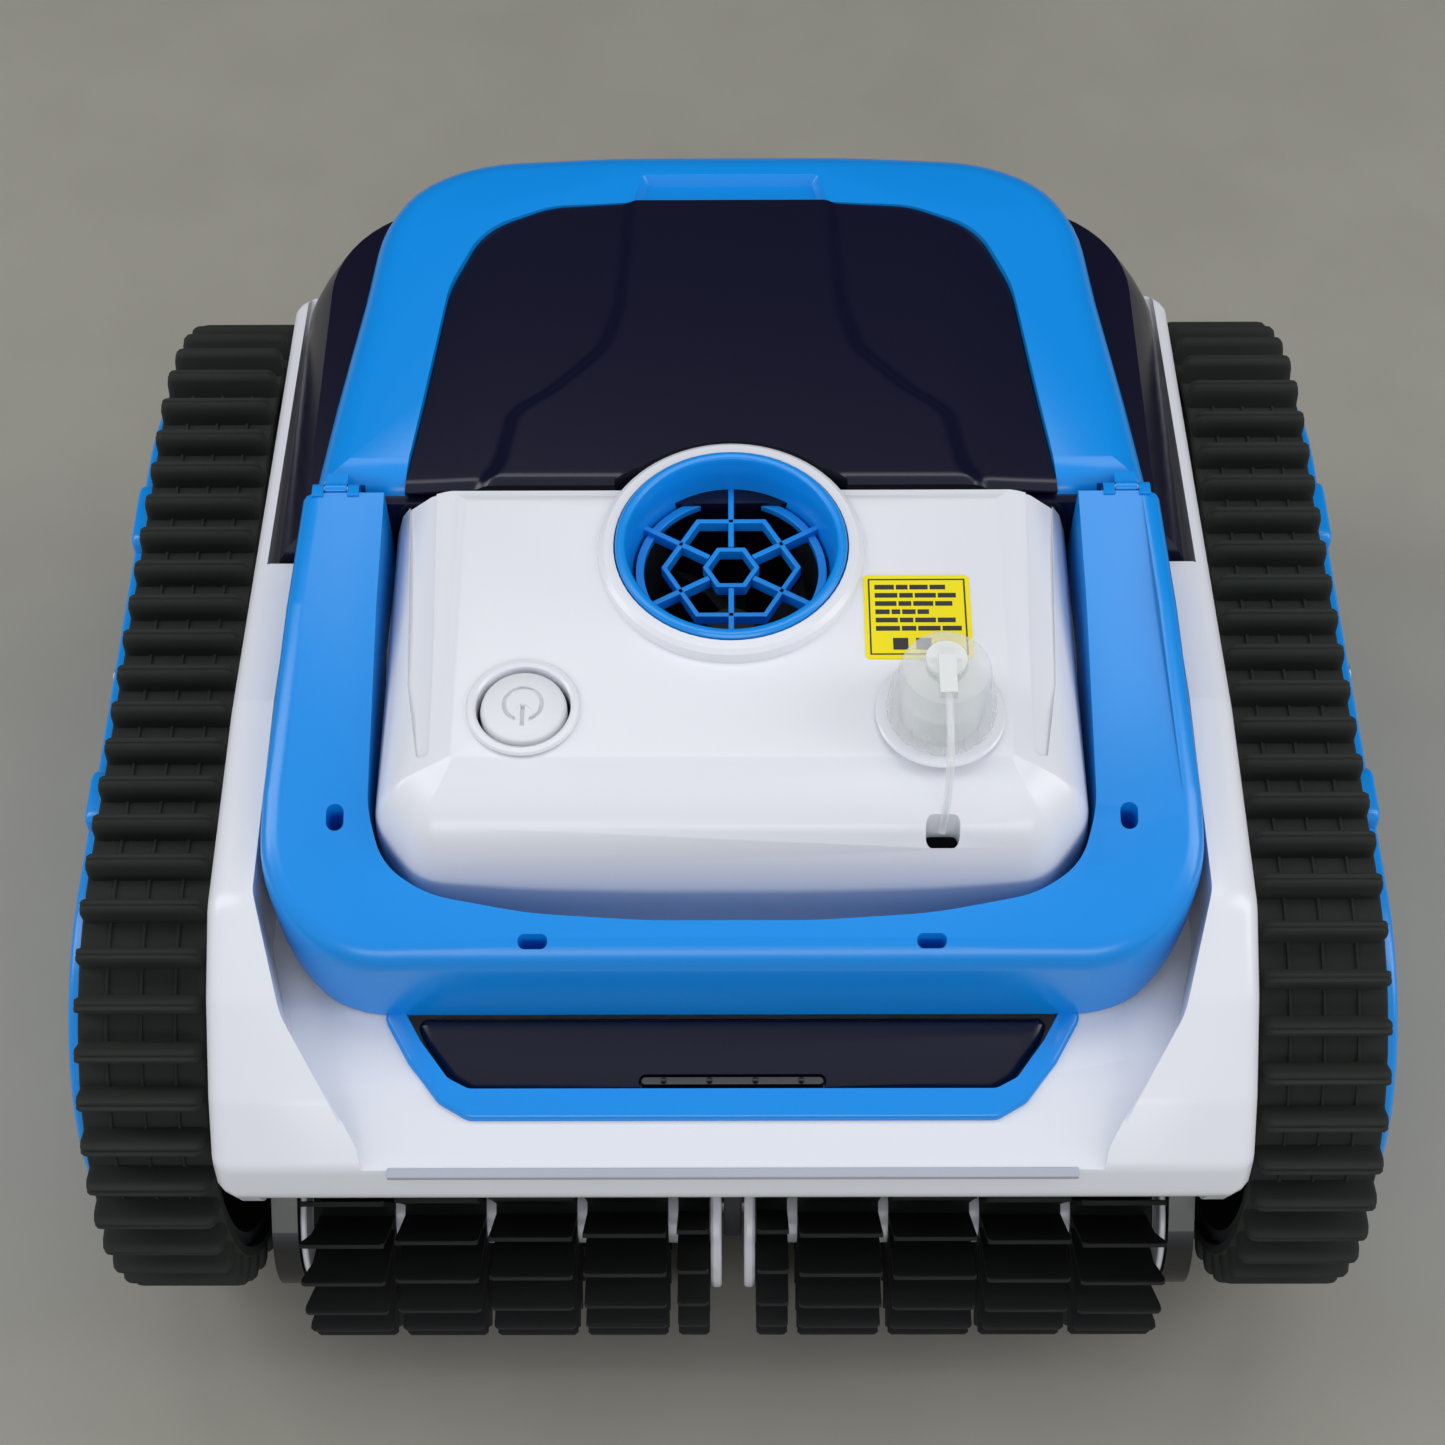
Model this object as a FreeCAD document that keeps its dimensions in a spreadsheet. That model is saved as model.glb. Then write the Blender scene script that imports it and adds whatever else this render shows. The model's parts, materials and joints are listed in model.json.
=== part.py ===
"""Cordless tracked pool cleaner, modelled as separate pieces in one parametric FreeCAD document.

Row frame in millimetres: +X is the cleaner's side, -Y its brush end (front), +Z up. The origin is
on the pool floor, below the middle of the cleaner. Every piece that exists on both sides is made
once for side = 1 (+X) and once for side = -1.
"""
import FreeCAD
import Part

import math
import os
import re

import Sketcher

Vector = FreeCAD.Vector
Rotation = FreeCAD.Rotation

SIDES = {"right": 1, "left": -1}
ALONG = {
    "X": Rotation(Vector(0, 1, 0), 90),
    "Y": Rotation(Vector(1, 0, 0), -90),
    "Z": Rotation(),
}

DIMENSIONS = [
    ("wall", 3, "thickness of the moulded shells"),
    ("running_gap", 0.05, "radial play of a shaft in its bore"),
    ("moving_gap", 0.5, "room left between a moving piece and its neighbour"),
    # Tracks and wheels
    ("wheel_front_y", -86, "axle of the front wheels"),
    ("wheel_rear_y", 88.5, "axle of the rear, driven wheels"),
    ("tip_radius", 97, "from a wheel's axle to the tips of the cleats, and the axle's height"),
    ("cleat_height", 9, "height of a cleat above the belt"),
    ("cleat_root", 6.4, "thickness of a cleat at the belt"),
    ("cleat_tip", 4.2, "thickness of a cleat at its tip"),
    ("cleat_count", 64, "cleats on one belt"),
    ("belt_thick", 4, "thickness of the belt between its cleats"),
    ("belt_inner_x", 161, "inner edge of a belt"),
    ("belt_outer_x", 200, "outer edge of a belt"),
    ("rim_depth", 7, "radial depth of a wheel's rim"),
    ("axle_radius", 5, "front axles and drive shafts"),
    ("hub_radius", 13, "hub of a wheel"),
    ("panel_inner_x", 202, "inner face of a side panel"),
    ("panel_outer_x", 208, "outer face of a side panel"),
    ("panel_radius", 72, "round end of a side panel"),
    # White body
    ("shell_half", 158, "half width of the body shell"),
    ("shell_bottom", 28, "lower rim of the body shell"),
    ("bay_rear_y", -92, "rear wall of the brush bay"),
    ("deck_z", 168, "deck under the top cover and the handle"),
    ("deck_half", 143.5, "half width of the deck recess"),
    ("rear_deck_z", 186, "deck under the rear housing"),
    ("rear_deck_half", 152.5, "half width of the rear recess"),
    ("split_y", 19.1, "where the top cover ends and the lid begins"),
    ("chamber_half", 90, "half width of the filter opening"),
    ("chamber_front_y", 44, "front edge of the filter opening"),
    ("chamber_rear_y", 145, "rear edge of the filter opening"),
    # Top cover and what stands in it
    ("cover_half", 109, "half width of the top cover"),
    ("plateau_half", 84, "half width of the cover's flat top"),
    ("cover_front_y", -105, "front face of the top cover"),
    ("cover_corner_y", -81, "where the cover's slanted front corners begin"),
    ("cover_rear_z", 241.5, "top of the cover at its rear edge"),
    ("cover_front_z", 237, "top of the cover at its front edge"),
    ("outlet_y", -5, "centre of the water outlet"),
    ("outlet_radius", 34.4, "outside of the outlet grille"),
    ("outlet_top_z", 245, "top of the outlet grille"),
    ("tongue_radius", 41.5, "round tongue of the cover about the outlet"),
    ("duct_radius", 37, "outside of the outlet duct"),
    ("duct_top_z", 226, "where the duct meets the grille"),
    ("duct_bottom_z", 112, "where the duct stands on the pump housing"),
    ("button_x", -62, "centre of the power button"),
    ("button_y", -62, "centre of the power button"),
    ("button_radius", 13.9, "power button"),
    ("button_top_z", 240.8, "top of the power button at rest"),
    ("port_x", 62, "centre of the charging port"),
    ("port_y", -65, "centre of the charging port"),
    ("port_radius", 12, "threaded neck of the charging port"),
    ("cap_radius", 16.4, "charging cap at its foot"),
    ("cap_top_radius", 13, "charging cap at its rim"),
    ("cap_bottom_z", 240.6, "foot of the charging cap"),
    ("cap_top_z", 264, "rim of the charging cap"),
    # Carry handle and front trim
    ("handle_half_rear", 135, "half width of the handle at the lid"),
    ("handle_half_front", 142, "half width of the handle at its corners"),
    ("handle_band", 25, "width of the handle's arms"),
    ("handle_front_y", -129, "front face of the handle"),
    ("handle_inner_y", -117.6, "rear face of the handle's front bar"),
    ("handle_corner", 38, "radius of the handle's front corners"),
    ("panel_half", 95, "half width of the dark front panel"),
    ("panel_front_y", -152, "front edge of the dark front panel"),
    ("trim_band", 11, "width of the trim round the front panel"),
    # Lid
    ("hinge_y", 21.25, "lid hinge axis"),
    ("hinge_z", 238, "lid hinge axis"),
    ("knuckle_radius", 1.7, "lid hinge knuckles"),
    ("hinge_pin_radius", 1.0, "lid hinge pins"),
    ("lid_front_y", 23.4, "front edge of the lid"),
    ("lid_rear_y", 175, "rear edge of the lid"),
    ("lid_top_z", 239.5, "top of the lid"),
    ("lid_bottom_z", 218.5, "lower edge of the lid's skirt"),
    ("lid_half_front", 133.5, "half width of the lid at its front edge"),
    ("lid_half_middle", 129.5, "half width of the lid, a quarter of the way back"),
    ("lid_half_rear", 120, "half width of the lid at its rear corners"),
    ("lid_band", 29, "width of the lid's frame"),
    ("window_rear_y", 147, "rear edge of the lid's window"),
    # Brushes and their gears
    ("brush_y", -140.5, "axis of the two brushes"),
    ("brush_z", 45.5, "axis of the two brushes"),
    ("fin_radius", 45, "tips of the brush fins"),
    ("fin_count", 13, "fins round one row of a brush"),
    ("fin_thick", 1.4, "thickness of a brush fin"),
    ("fin_twist", 1.5, "turn in degrees from one row of fins to the next"),
    ("brush_inner_x", 7.5, "inner end of a brush"),
    ("brush_outer_x", 143.5, "outer end of a brush"),
    ("core_radius", 14, "tube of a brush"),
    ("rod_radius", 4, "steel rod that the brushes turn on"),
    ("gear_inner_x", 148.2, "inner face of the brush gears"),
    ("gear_outer_x", 153, "outer face of the brush gears"),
    ("wheel_teeth", 20, "teeth on the front wheel's gear"),
    ("middle_teeth", 24, "teeth on the gear between wheel and brush"),
    ("brush_teeth", 14, "teeth on the brush's gear"),
    ("case_radius", 27.5, "round ends of a gear case"),
    # Inside
    ("pump_radius", 36, "sealed pump housing"),
    ("impeller_radius", 31, "tips of the impeller blades"),
    ("motor_radius", 19, "drive motors"),
    ("cell_radius", 10.6, "battery cells"),
    ("cell_count", 8, "battery cells"),
]

doc = FreeCAD.newDocument("pool_cleaner")
sheet = doc.addObject("Spreadsheet::Sheet", "dims")
for row, (alias, number, note) in enumerate(DIMENSIONS, start=1):
    sheet.set(f"A{row}", note)
    sheet.set(f"B{row}", str(number))
    sheet.setAlias(f"B{row}", alias)
doc.recompute()

ALIAS = re.compile(r"\b(" + "|".join(alias for alias, _, _ in DIMENSIONS) + r")\b")
pieces = []


def bound(text):
    """An expression whose bare dimension names refer to the sheet."""
    return ALIAS.sub(r"dims.\1", str(text))


def value(text):
    """The number that an expression stands for now."""
    return float(sheet.evalExpression(bound(text)))


def sizes(item, **expressions):
    for name, text in expressions.items():
        item.setExpression(name, bound(text))
    return item


def place(item, x=0, y=0, z=0, along="Z", turn=None):
    """Puts an object's own origin at x, y, z and turns it so that its Z runs along an axis."""
    item.Placement = FreeCAD.Placement(Vector(), turn or ALONG[along])
    for axis, text in zip("xyz", (x, y, z)):
        item.setExpression(f"Placement.Base.{axis}", bound(text))
    return item


def piece(item, label):
    """Marks an object as one of the cleaner's pieces, under the name of its file."""
    item.Label = label
    pieces.append(item)
    return item


# Part primitives and booleans

def cylinder(radius, height, x=0, y=0, z=0, along="Z"):
    item = doc.addObject("Part::Cylinder", "cylinder")
    return place(sizes(item, Radius=radius, Height=height), x, y, z, along)


def cone(radius, top_radius, height, x=0, y=0, z=0):
    item = doc.addObject("Part::Cone", "cone")
    return place(sizes(item, Radius1=radius, Radius2=top_radius, Height=height), x, y, z)


def block(low, high, turn=None):
    """A box between two corners. Each corner is three expressions."""
    item = doc.addObject("Part::Box", "block")
    length, width, height = (f"({b}) - ({a})" for a, b in zip(low, high))
    return place(sizes(item, Length=length, Width=width, Height=height), *low, turn=turn)


def mirrored(low, high, side):
    """The two corners of a box given for the right side, kept or moved to the left."""
    if side > 0:
        return low, high
    return (f"-({high[0]})", *low[1:]), (f"-({low[0]})", *high[1:])


def fuse(shapes):
    item = doc.addObject("Part::MultiFuse", "fusion")
    item.Shapes = shapes
    return item


def cut(base, tools):
    item = doc.addObject("Part::Cut", "cut")
    item.Base = base
    item.Tool = tools[0] if len(tools) == 1 else fuse(tools)
    return item


def tube(outer, inner, height, x=0, y=0, z=0):
    return cut(cylinder(outer, height, x, y, z), [cylinder(inner, height, x, y, z)])


# PartDesign bodies

def new_body(label):
    return piece(doc.addObject("PartDesign::Body", label), label)


def outline(body, role, loops, offset=0):
    """A sketch on one of the body's origin planes. A loop is a list of corner points or a tuple
    (x, y, radius) for a circle, and every coordinate is driven by an expression."""
    plane = next(f for f in body.Origin.OriginFeatures if f.Role == role)
    sketch = body.newObject("Sketcher::SketchObject", f"{body.Name}_sketch")
    sketch.AttachmentSupport = [(plane, "")]
    sketch.MapMode = "FlatFace"
    sketch.setExpression("AttachmentOffset.Base.z", bound(offset))
    for loop in loops:
        first = sketch.GeometryCount
        if isinstance(loop, tuple):
            x, y, radius = loop
            circle = Part.Circle(Vector(value(x), value(y), 0), Vector(0, 0, 1), value(radius))
            sketch.addGeometry(circle, False)
            drive_point(sketch, first, 3, x, y)
            at = sketch.addConstraint(Sketcher.Constraint("Radius", first, value(radius)))
            sketch.setExpression(f"Constraints[{at}]", bound(radius))
            continue
        corners = [Vector(value(x), value(y), 0) for x, y in loop]
        count = len(loop)
        for i in range(count):
            sketch.addGeometry(Part.LineSegment(corners[i], corners[(i + 1) % count]), False)
        for i in range(count):
            following = first + (i + 1) % count
            sketch.addConstraint(Sketcher.Constraint("Coincident", first + i, 2, following, 1))
        for i, (x, y) in enumerate(loop):
            drive_point(sketch, first + i, 1, x, y)
    return sketch


def drive_point(sketch, element, end, x, y):
    for kind, text in (("DistanceX", x), ("DistanceY", y)):
        at = sketch.addConstraint(Sketcher.Constraint(kind, -1, 1, element, end, value(text)))
        sketch.setExpression(f"Constraints[{at}]", bound(text))


def pad(body, role, loops, length, offset=0, both_ways=False, backwards=False):
    feature = body.newObject("PartDesign::Pad", f"{body.Name}_pad")
    feature.Profile = outline(body, role, loops, offset)
    sizes(feature, Length=length)
    feature.SideType = "Symmetric" if both_ways else "One side"
    feature.Reversed = backwards
    doc.recompute()
    return feature


def pocket(body, role, loops, length, offset=0, both_ways=False, backwards=False):
    """Cuts a profile out of the body. A positive cut runs along the plane's normal."""
    before = body.Shape.Volume
    feature = body.newObject("PartDesign::Pocket", f"{body.Name}_pocket")
    feature.Profile = outline(body, role, loops, offset)
    sizes(feature, Length=length)
    feature.SideType = "Symmetric" if both_ways else "One side"
    feature.Reversed = not backwards
    doc.recompute()
    if not body.Shape.Volume < before - 0.01:
        raise RuntimeError(f"a pocket cuts nothing out of {body.Label}")
    return feature


def polar(body, feature, axis_role, count):
    pattern = body.newObject("PartDesign::PolarPattern", f"{body.Name}_pattern")
    pattern.Originals = feature if isinstance(feature, list) else [feature]
    pattern.Axis = (next(f for f in body.Origin.OriginFeatures if f.Role == axis_role), [""])
    pattern.Angle = 360
    sizes(pattern, Occurrences=count)
    body.Tip = pattern
    doc.recompute()
    return pattern


def round_edges(body, radius, wanted):
    """Rounds the straight edges of the body whose middle point the test accepts."""
    names = []
    for number, edge in enumerate(body.Shape.Edges, start=1):
        straight = isinstance(edge.Curve, Part.Line)
        if straight and wanted(edge.CenterOfMass, edge.tangentAt(edge.FirstParameter)):
            names.append(f"Edge{number}")
    if not names:
        raise RuntimeError(f"no edges to round on {body.Label}")
    rounded = body.Tip
    feature = body.newObject("PartDesign::Fillet", f"{body.Name}_fillet")
    feature.Base = (rounded, names)
    sizes(feature, Radius=radius)
    doc.recompute()
    if "Invalid" in feature.State:
        raise RuntimeError(f"the edges of {body.Label} can't be rounded")
    return feature


def upright(direction):
    return abs(direction.z) > 0.99


def symmetric(half_points):
    """A closed loop from its right half, listed from front to back."""
    return half_points + [(f"-({x})", y) for x, y in reversed(half_points)]


# White body, base and covers

def make_base_plate():
    body = new_body("base_plate")
    plan = symmetric([(138, -88), (150, -76), (150, 150), (120, 162)])
    pad(body, "XY_Plane", [plan], 4, "shell_bottom - 4")
    for side in SIDES.values():
        mouth = [(side * 18, 60), (side * 72, 60), (side * 72, 84), (side * 18, 84)]
        sleeve = [(side * 16, 58), (side * 74, 58), (side * 74, 86), (side * 16, 86)]
        pad(body, "XY_Plane", [sleeve], 18, "shell_bottom")
        pocket(body, "XY_Plane", [mouth], 30, "shell_bottom - 6")


def make_body_shell():
    """White hull: high sides beside the tracks, a low deck in front and a recessed deck behind."""
    body = new_body("body_shell")
    profile = [
        ("bay_rear_y", "shell_bottom"), ("bay_rear_y", 88), (-110, 102), (-150, 110), (-174, 130),
        (-178, 144), (-175, 157), (-160, 173), (-136, 192), (-110, 206), (-39, 208), (17, 203),
        (146, 191), (165, 172), (168, 60), (152, "shell_bottom"),
    ]
    pad(body, "YZ_Plane", [profile], "2*shell_half", both_ways=True)
    deck = [(-182, 155), (-150, 165), (-126, "deck_z"), ("split_y", "deck_z"), ("split_y", 230),
            (-182, 230)]
    pocket(body, "YZ_Plane", [deck], "2*deck_half", both_ways=True)
    rear = [("split_y - 1", "rear_deck_z"), (175, "rear_deck_z"), (175, 230), ("split_y - 1", 230)]
    pocket(body, "YZ_Plane", [rear], "2*rear_deck_half", both_ways=True)
    hollow = [
        ("bay_rear_y + wall", 20), ("bay_rear_y + wall", 91), (-108, 105), (-149, 113.5),
        (-171, 133), (-172, 154), (-150, 162), (-126, "deck_z - wall"),
        ("split_y - 4", "deck_z - wall"), ("split_y - 4", "rear_deck_z - wall"),
        (154, "rear_deck_z - wall"), (161, 172), (165, 60), (150, 20),
    ]
    pocket(body, "YZ_Plane", [hollow], "2*(shell_half - wall)", both_ways=True)
    chamber = [("-chamber_half", "chamber_front_y"), ("chamber_half", "chamber_front_y"),
               ("chamber_half", "chamber_rear_y"), ("-chamber_half", "chamber_rear_y")]
    pocket(body, "XY_Plane", [chamber], 60, 160)
    pocket(body, "XY_Plane", [(0, "outlet_y", "duct_radius + 0.5")], 60, 150)
    front_hole = [("-panel_half - 0.5", "panel_front_y - 0.5"),
                  ("panel_half + 0.5", "panel_front_y - 0.5"),
                  ("panel_half + 0.5", "handle_front_y + 3"),
                  ("-panel_half - 0.5", "handle_front_y + 3")]
    pocket(body, "XY_Plane", [front_hole], 30, 150)
    for y in ("wheel_front_y", "wheel_rear_y"):
        pocket(body, "YZ_Plane", [(y, "tip_radius", 10.5)], "3*shell_half", both_ways=True)
    case_passage = [(-171, 20), (-58, 20), (-58, 125), (-125, 125), (-171, 84)]
    for start in ("146", "-(shell_half - wall)"):
        pocket(body, "YZ_Plane", [case_passage], "shell_half - wall - 146", start)


def make_rear_housing():
    """Dark gloss collar round the filter opening, under the lid's skirt."""
    body = new_body("rear_housing")
    section = symmetric([(151.8, "rear_deck_z"), (150.5, 195), (139, 217.5)])
    pad(body, "XZ_Plane", [section], 147, -167.5)
    rim = symmetric([("chamber_half + 7", "chamber_front_y - 6"), ("chamber_half + 7", 133),
                     ("chamber_half - 2", "chamber_rear_y + 6")])
    pad(body, "XY_Plane", [rim], 13.5, 217.5)
    opening = symmetric([("chamber_half", "chamber_front_y"),
                         ("chamber_half", "chamber_rear_y - 10"),
                         ("chamber_half - 6", "chamber_rear_y")])
    pocket(body, "XY_Plane", [opening], 60, 180)
    pocket(body, "XY_Plane", [(0, "outlet_y", "tongue_radius + 0.5")], 60, 180)
    slope = [(160, 240), (165, 217.4), (167.6, 186), (175, 186), (175, 240)]
    pocket(body, "YZ_Plane", [slope], 320, both_ways=True)
    for side in SIDES.values():
        corner = [(side * 153, 130), (side * 153, 169), (side * 112, 169)]
        pocket(body, "XY_Plane", [corner], 60, 180)


def make_chamber_seal():
    body = new_body("chamber_seal")
    loops = [symmetric([(f"chamber_half + {grow}", f"chamber_front_y - {grow}"),
                        (f"chamber_half + {grow}", "chamber_rear_y - 12"),
                        (f"chamber_half - 9 + {grow}", f"chamber_rear_y + {grow}")])
             for grow in (5, 2)]
    pad(body, "XY_Plane", loops, 2.4, 231)


def make_top_cover():
    """White cover with a flat top, a steep front face and a round tongue about the outlet."""
    body = new_body("top_cover")
    profile = [("cover_front_y", "deck_z"), ("cover_front_y + 1", 215), ("cover_front_y + 7", 232),
               ("cover_front_y + 15", "cover_front_z"), ("split_y", "cover_rear_z"),
               ("split_y", "deck_z")]
    pad(body, "YZ_Plane", [profile], "2*cover_half", both_ways=True)
    for side in SIDES.values():
        slope = [(f"{side}*(cover_half + 1)", 230), (f"{side}*(cover_half + 1)", 250),
                 (f"{side}*plateau_half", 250), (f"{side}*plateau_half", "cover_rear_z")]
        pocket(body, "XZ_Plane", [slope], 400, both_ways=True)
    inside = [("cover_front_y + wall", "deck_z - 1"), ("cover_front_y + wall + 1", 214),
              ("cover_front_y + wall + 7", 229), ("cover_front_y + wall + 14", "cover_front_z - wall"),
              ("split_y - wall", "cover_rear_z - wall"), ("split_y - wall", "deck_z - 1")]
    pocket(body, "YZ_Plane", [inside], "2*plateau_half", both_ways=True)
    below_slope = [("cover_corner_y + 4", "deck_z - 1"), ("cover_corner_y + 4", 227),
                   ("split_y - wall", 227), ("split_y - wall", "deck_z - 1")]
    pocket(body, "YZ_Plane", [below_slope], "2*(cover_half - 4)", both_ways=True)
    for side in SIDES.values():
        corner = [(f"{side}*(cover_half + 1)", "cover_corner_y"),
                  (f"{side}*(cover_half + 1)", "cover_front_y - 1"),
                  (f"{side}*(cover_half - 23)", "cover_front_y - 1")]
        pocket(body, "XY_Plane", [corner], 100, 160)
    pocket(body, "XY_Plane", [(0, "outlet_y", "duct_radius + 0.5")], 67, 166)
    tongue = (0, "outlet_y", "tongue_radius")
    pad(body, "XY_Plane", [tongue], "cover_rear_z + 2 - 233.5", 233.5)
    pocket(body, "XY_Plane", [(0, "outlet_y", "outlet_radius")], 60, 200)
    pocket(body, "XY_Plane", [("button_x", "button_y", "button_radius + 0.4")], 60, 200)
    pocket(body, "XY_Plane", [("port_x", "port_y", "port_radius")], 60, 200)
    slot = [("port_x - 5", -101), ("port_x + 5", -101), ("port_x + 5", -94.5),
            ("port_x - 5", -94.5)]
    pocket(body, "XY_Plane", [slot], 60, 210)


def hinge_neck(far_y):
    """Profile of the short neck between a hinge knuckle and the piece that it stands on."""
    return [("hinge_y", "hinge_z - 1.2"), (far_y, "hinge_z - 1.2"), (far_y, "hinge_z + 1.2"),
            ("hinge_y", "hinge_z + 1.2")]


def make_carry_handle():
    """U-shaped grip: two arms beside the cover and a tall front bar with a finger gap behind it."""
    body = new_body("carry_handle")
    plan = symmetric([("handle_half_front", "handle_front_y"), ("handle_half_front", -90),
                      ("handle_half_rear", "split_y")])
    pad(body, "XY_Plane", [plan], "lid_top_z - deck_z", "deck_z")
    front = value("handle_front_y")
    round_edges(body, "handle_corner", lambda at, to: upright(to) and at.y < front + 0.5)
    above = [("handle_front_y - 1", 202), ("handle_front_y", 202), ("handle_front_y + 3", 205),
             (-87, 218), (-50, 228), ("split_y", "lid_top_z"), ("split_y", 250),
             ("handle_front_y - 1", 250)]
    pocket(body, "YZ_Plane", [above], 400, both_ways=True)
    inside = symmetric([(78, "handle_inner_y"), ("handle_half_rear - handle_band", -82),
                        ("handle_half_rear - handle_band", "split_y + 1")])
    pocket(body, "XY_Plane", [inside], 100, 160)
    groove = symmetric([(82, "handle_front_y + 3"), ("handle_half_front - 10", -92),
                        ("handle_half_rear - 4", "split_y - 4"),
                        ("handle_half_rear - handle_band + 4", "split_y - 4"),
                        ("handle_half_rear - handle_band + 4", -85),
                        (79, "handle_inner_y - 3")])
    pocket(body, "XY_Plane", [groove], 28, "deck_z - 1")
    slots = []
    for side in SIDES.values():
        for x, y, half_x, half_y in ((119, -87, 2.5, 4), (59, -123, 4, 2)):
            centre = side * x
            slots.append([(centre - half_x, y - half_y), (centre + half_x, y - half_y),
                          (centre + half_x, y + half_y), (centre - half_x, y + half_y)])
    pocket(body, "XY_Plane", slots, 60, 190)
    for side in SIDES.values():
        for start in (117.6, 128.8):
            low = min(side * start, side * (start + 3.6))
            neck = hinge_neck("split_y - 0.5")
            pad(body, "YZ_Plane", [neck], 3.6, low)
            pad(body, "YZ_Plane", [("hinge_y", "hinge_z", "knuckle_radius")], 3.6, low)
            pocket(body, "YZ_Plane", [("hinge_y", "hinge_z", "hinge_pin_radius")], 3.6, low)


def make_front_panel():
    """Dark gloss panel below the handle, its light bar and the blue trim round it."""
    body = new_body("front_panel")
    profile = [("panel_front_y", 152), ("panel_front_y", 163.4), (-144, 167.6),
               ("handle_front_y - 0.4", "deck_z - 0.4"), ("handle_front_y - 0.4", 152)]
    pad(body, "YZ_Plane", [profile], "2*panel_half", both_ways=True)
    lamp = [(-28, -149.5), (28, -149.5), (28, -146.5), (-28, -146.5)]
    pocket(body, "XY_Plane", [lamp], 20, 160)
    bar = new_body("light_bar")
    pad(bar, "XY_Plane", [lamp], 4.4, 160)
    trim = new_body("front_trim")
    strip = [("panel_front_y - trim_band", 161), ("panel_front_y - trim_band", 162.4),
             (-150, 166.6), ("handle_front_y - 0.4", 169.2), ("handle_front_y - 0.4", 167.63),
             (-150, 165)]
    pad(trim, "YZ_Plane", [strip], "2*(panel_half + trim_band)", both_ways=True)
    opening = symmetric([("panel_half", "panel_front_y"), ("panel_half", -120)])
    pocket(trim, "XY_Plane", [opening], 60, 150)
    for side in SIDES.values():
        corner = [(f"{side}*(panel_half + trim_band + 1)", -170),
                  (f"{side}*(panel_half - 14)", -170),
                  (f"{side}*(panel_half + trim_band + 1)", -140)]
        pocket(trim, "XY_Plane", [corner], 60, 150)


# Lid

def make_lid():
    """Blue frame and dark window of the lid over the filter, with knuckles at its front edge."""
    frame = new_body("lid_frame")
    half = [("lid_half_front", "lid_front_y"), ("lid_half_middle", 60), (123, 105),
            ("lid_half_rear - 3", "lid_rear_y")]
    pad(frame, "XY_Plane", [symmetric(half)], "lid_top_z - lid_bottom_z", "lid_bottom_z")
    rear = value("lid_rear_y")
    round_edges(frame, 58, lambda at, to: upright(to) and at.y > rear - 1)
    inset = [(f"{x} - wall", y) for x, y in half[1:-1]]
    cavity = [("lid_half_front - wall", "lid_front_y + wall")] + inset
    cavity += [("lid_half_rear - wall - 4", "lid_rear_y - wall - 40"),
               (70, "lid_rear_y - wall - 1")]
    pocket(frame, "XY_Plane", [symmetric(cavity)], "lid_top_z - wall - lid_bottom_z + 1",
           "lid_bottom_z - 1")
    band = [("lid_half_front - lid_band", "lid_front_y - 1"),
            ("lid_half_middle - lid_band - 1", 60), (94, 105), (88, 130), (70, "window_rear_y")]
    pocket(frame, "XY_Plane", [symmetric(band)], 40, "lid_bottom_z - 5")
    recess = [(-31, 158), (31, 158), (31, 176), (-31, 176)]
    pocket(frame, "XY_Plane", [recess], 5, "lid_top_z - 1.2")
    for side in SIDES.values():
        low = min(side * 121.6, side * 128.4)
        pad(frame, "YZ_Plane", [hinge_neck("lid_front_y + 0.5")], 6.8, low)
        pad(frame, "YZ_Plane", [("hinge_y", "hinge_z", "knuckle_radius")], 6.8, low)
        pocket(frame, "YZ_Plane", [("hinge_y", "hinge_z", "hinge_pin_radius + running_gap")],
               6.8, low)

    window = new_body("lid_window")
    pane = [(f"{x} - 0.3", y) for x, y in band[1:]]
    pane = [("lid_half_front - lid_band - 0.3", "lid_front_y + 0.3")] + pane
    pane[-1] = (69.7, "window_rear_y - 0.3")
    flange = [(f"{x} + 4", y) for x, y in pane]
    flange[0] = ("lid_half_front - lid_band + 4", "lid_front_y + 4")
    flange[-1] = (74, "window_rear_y + 4")
    pad(window, "XY_Plane", [symmetric(pane)], "wall + 2.5", "lid_top_z - wall - 2.5")
    pad(window, "XY_Plane", [symmetric(flange)], 2.5, "lid_top_z - wall - 2.5")
    pocket(window, "XY_Plane", [(0, "outlet_y", "tongue_radius + 2.5")], 30, 225)
    for side in SIDES.values():
        corner = [(side * 28, 22), (side * 38, 22), (side * 38, "lid_front_y"), (side * 30.5, 28.6),
                  (side * 28, 27)]
        pocket(window, "XY_Plane", [corner], 30, 225)

    pins = [cylinder("hinge_pin_radius", 14.8, f"{side}*125 - 7.4", "hinge_y", "hinge_z", "X")
            for side in SIDES.values()]
    piece(fuse(pins), "hinge_pins")


# Water path and pump

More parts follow.
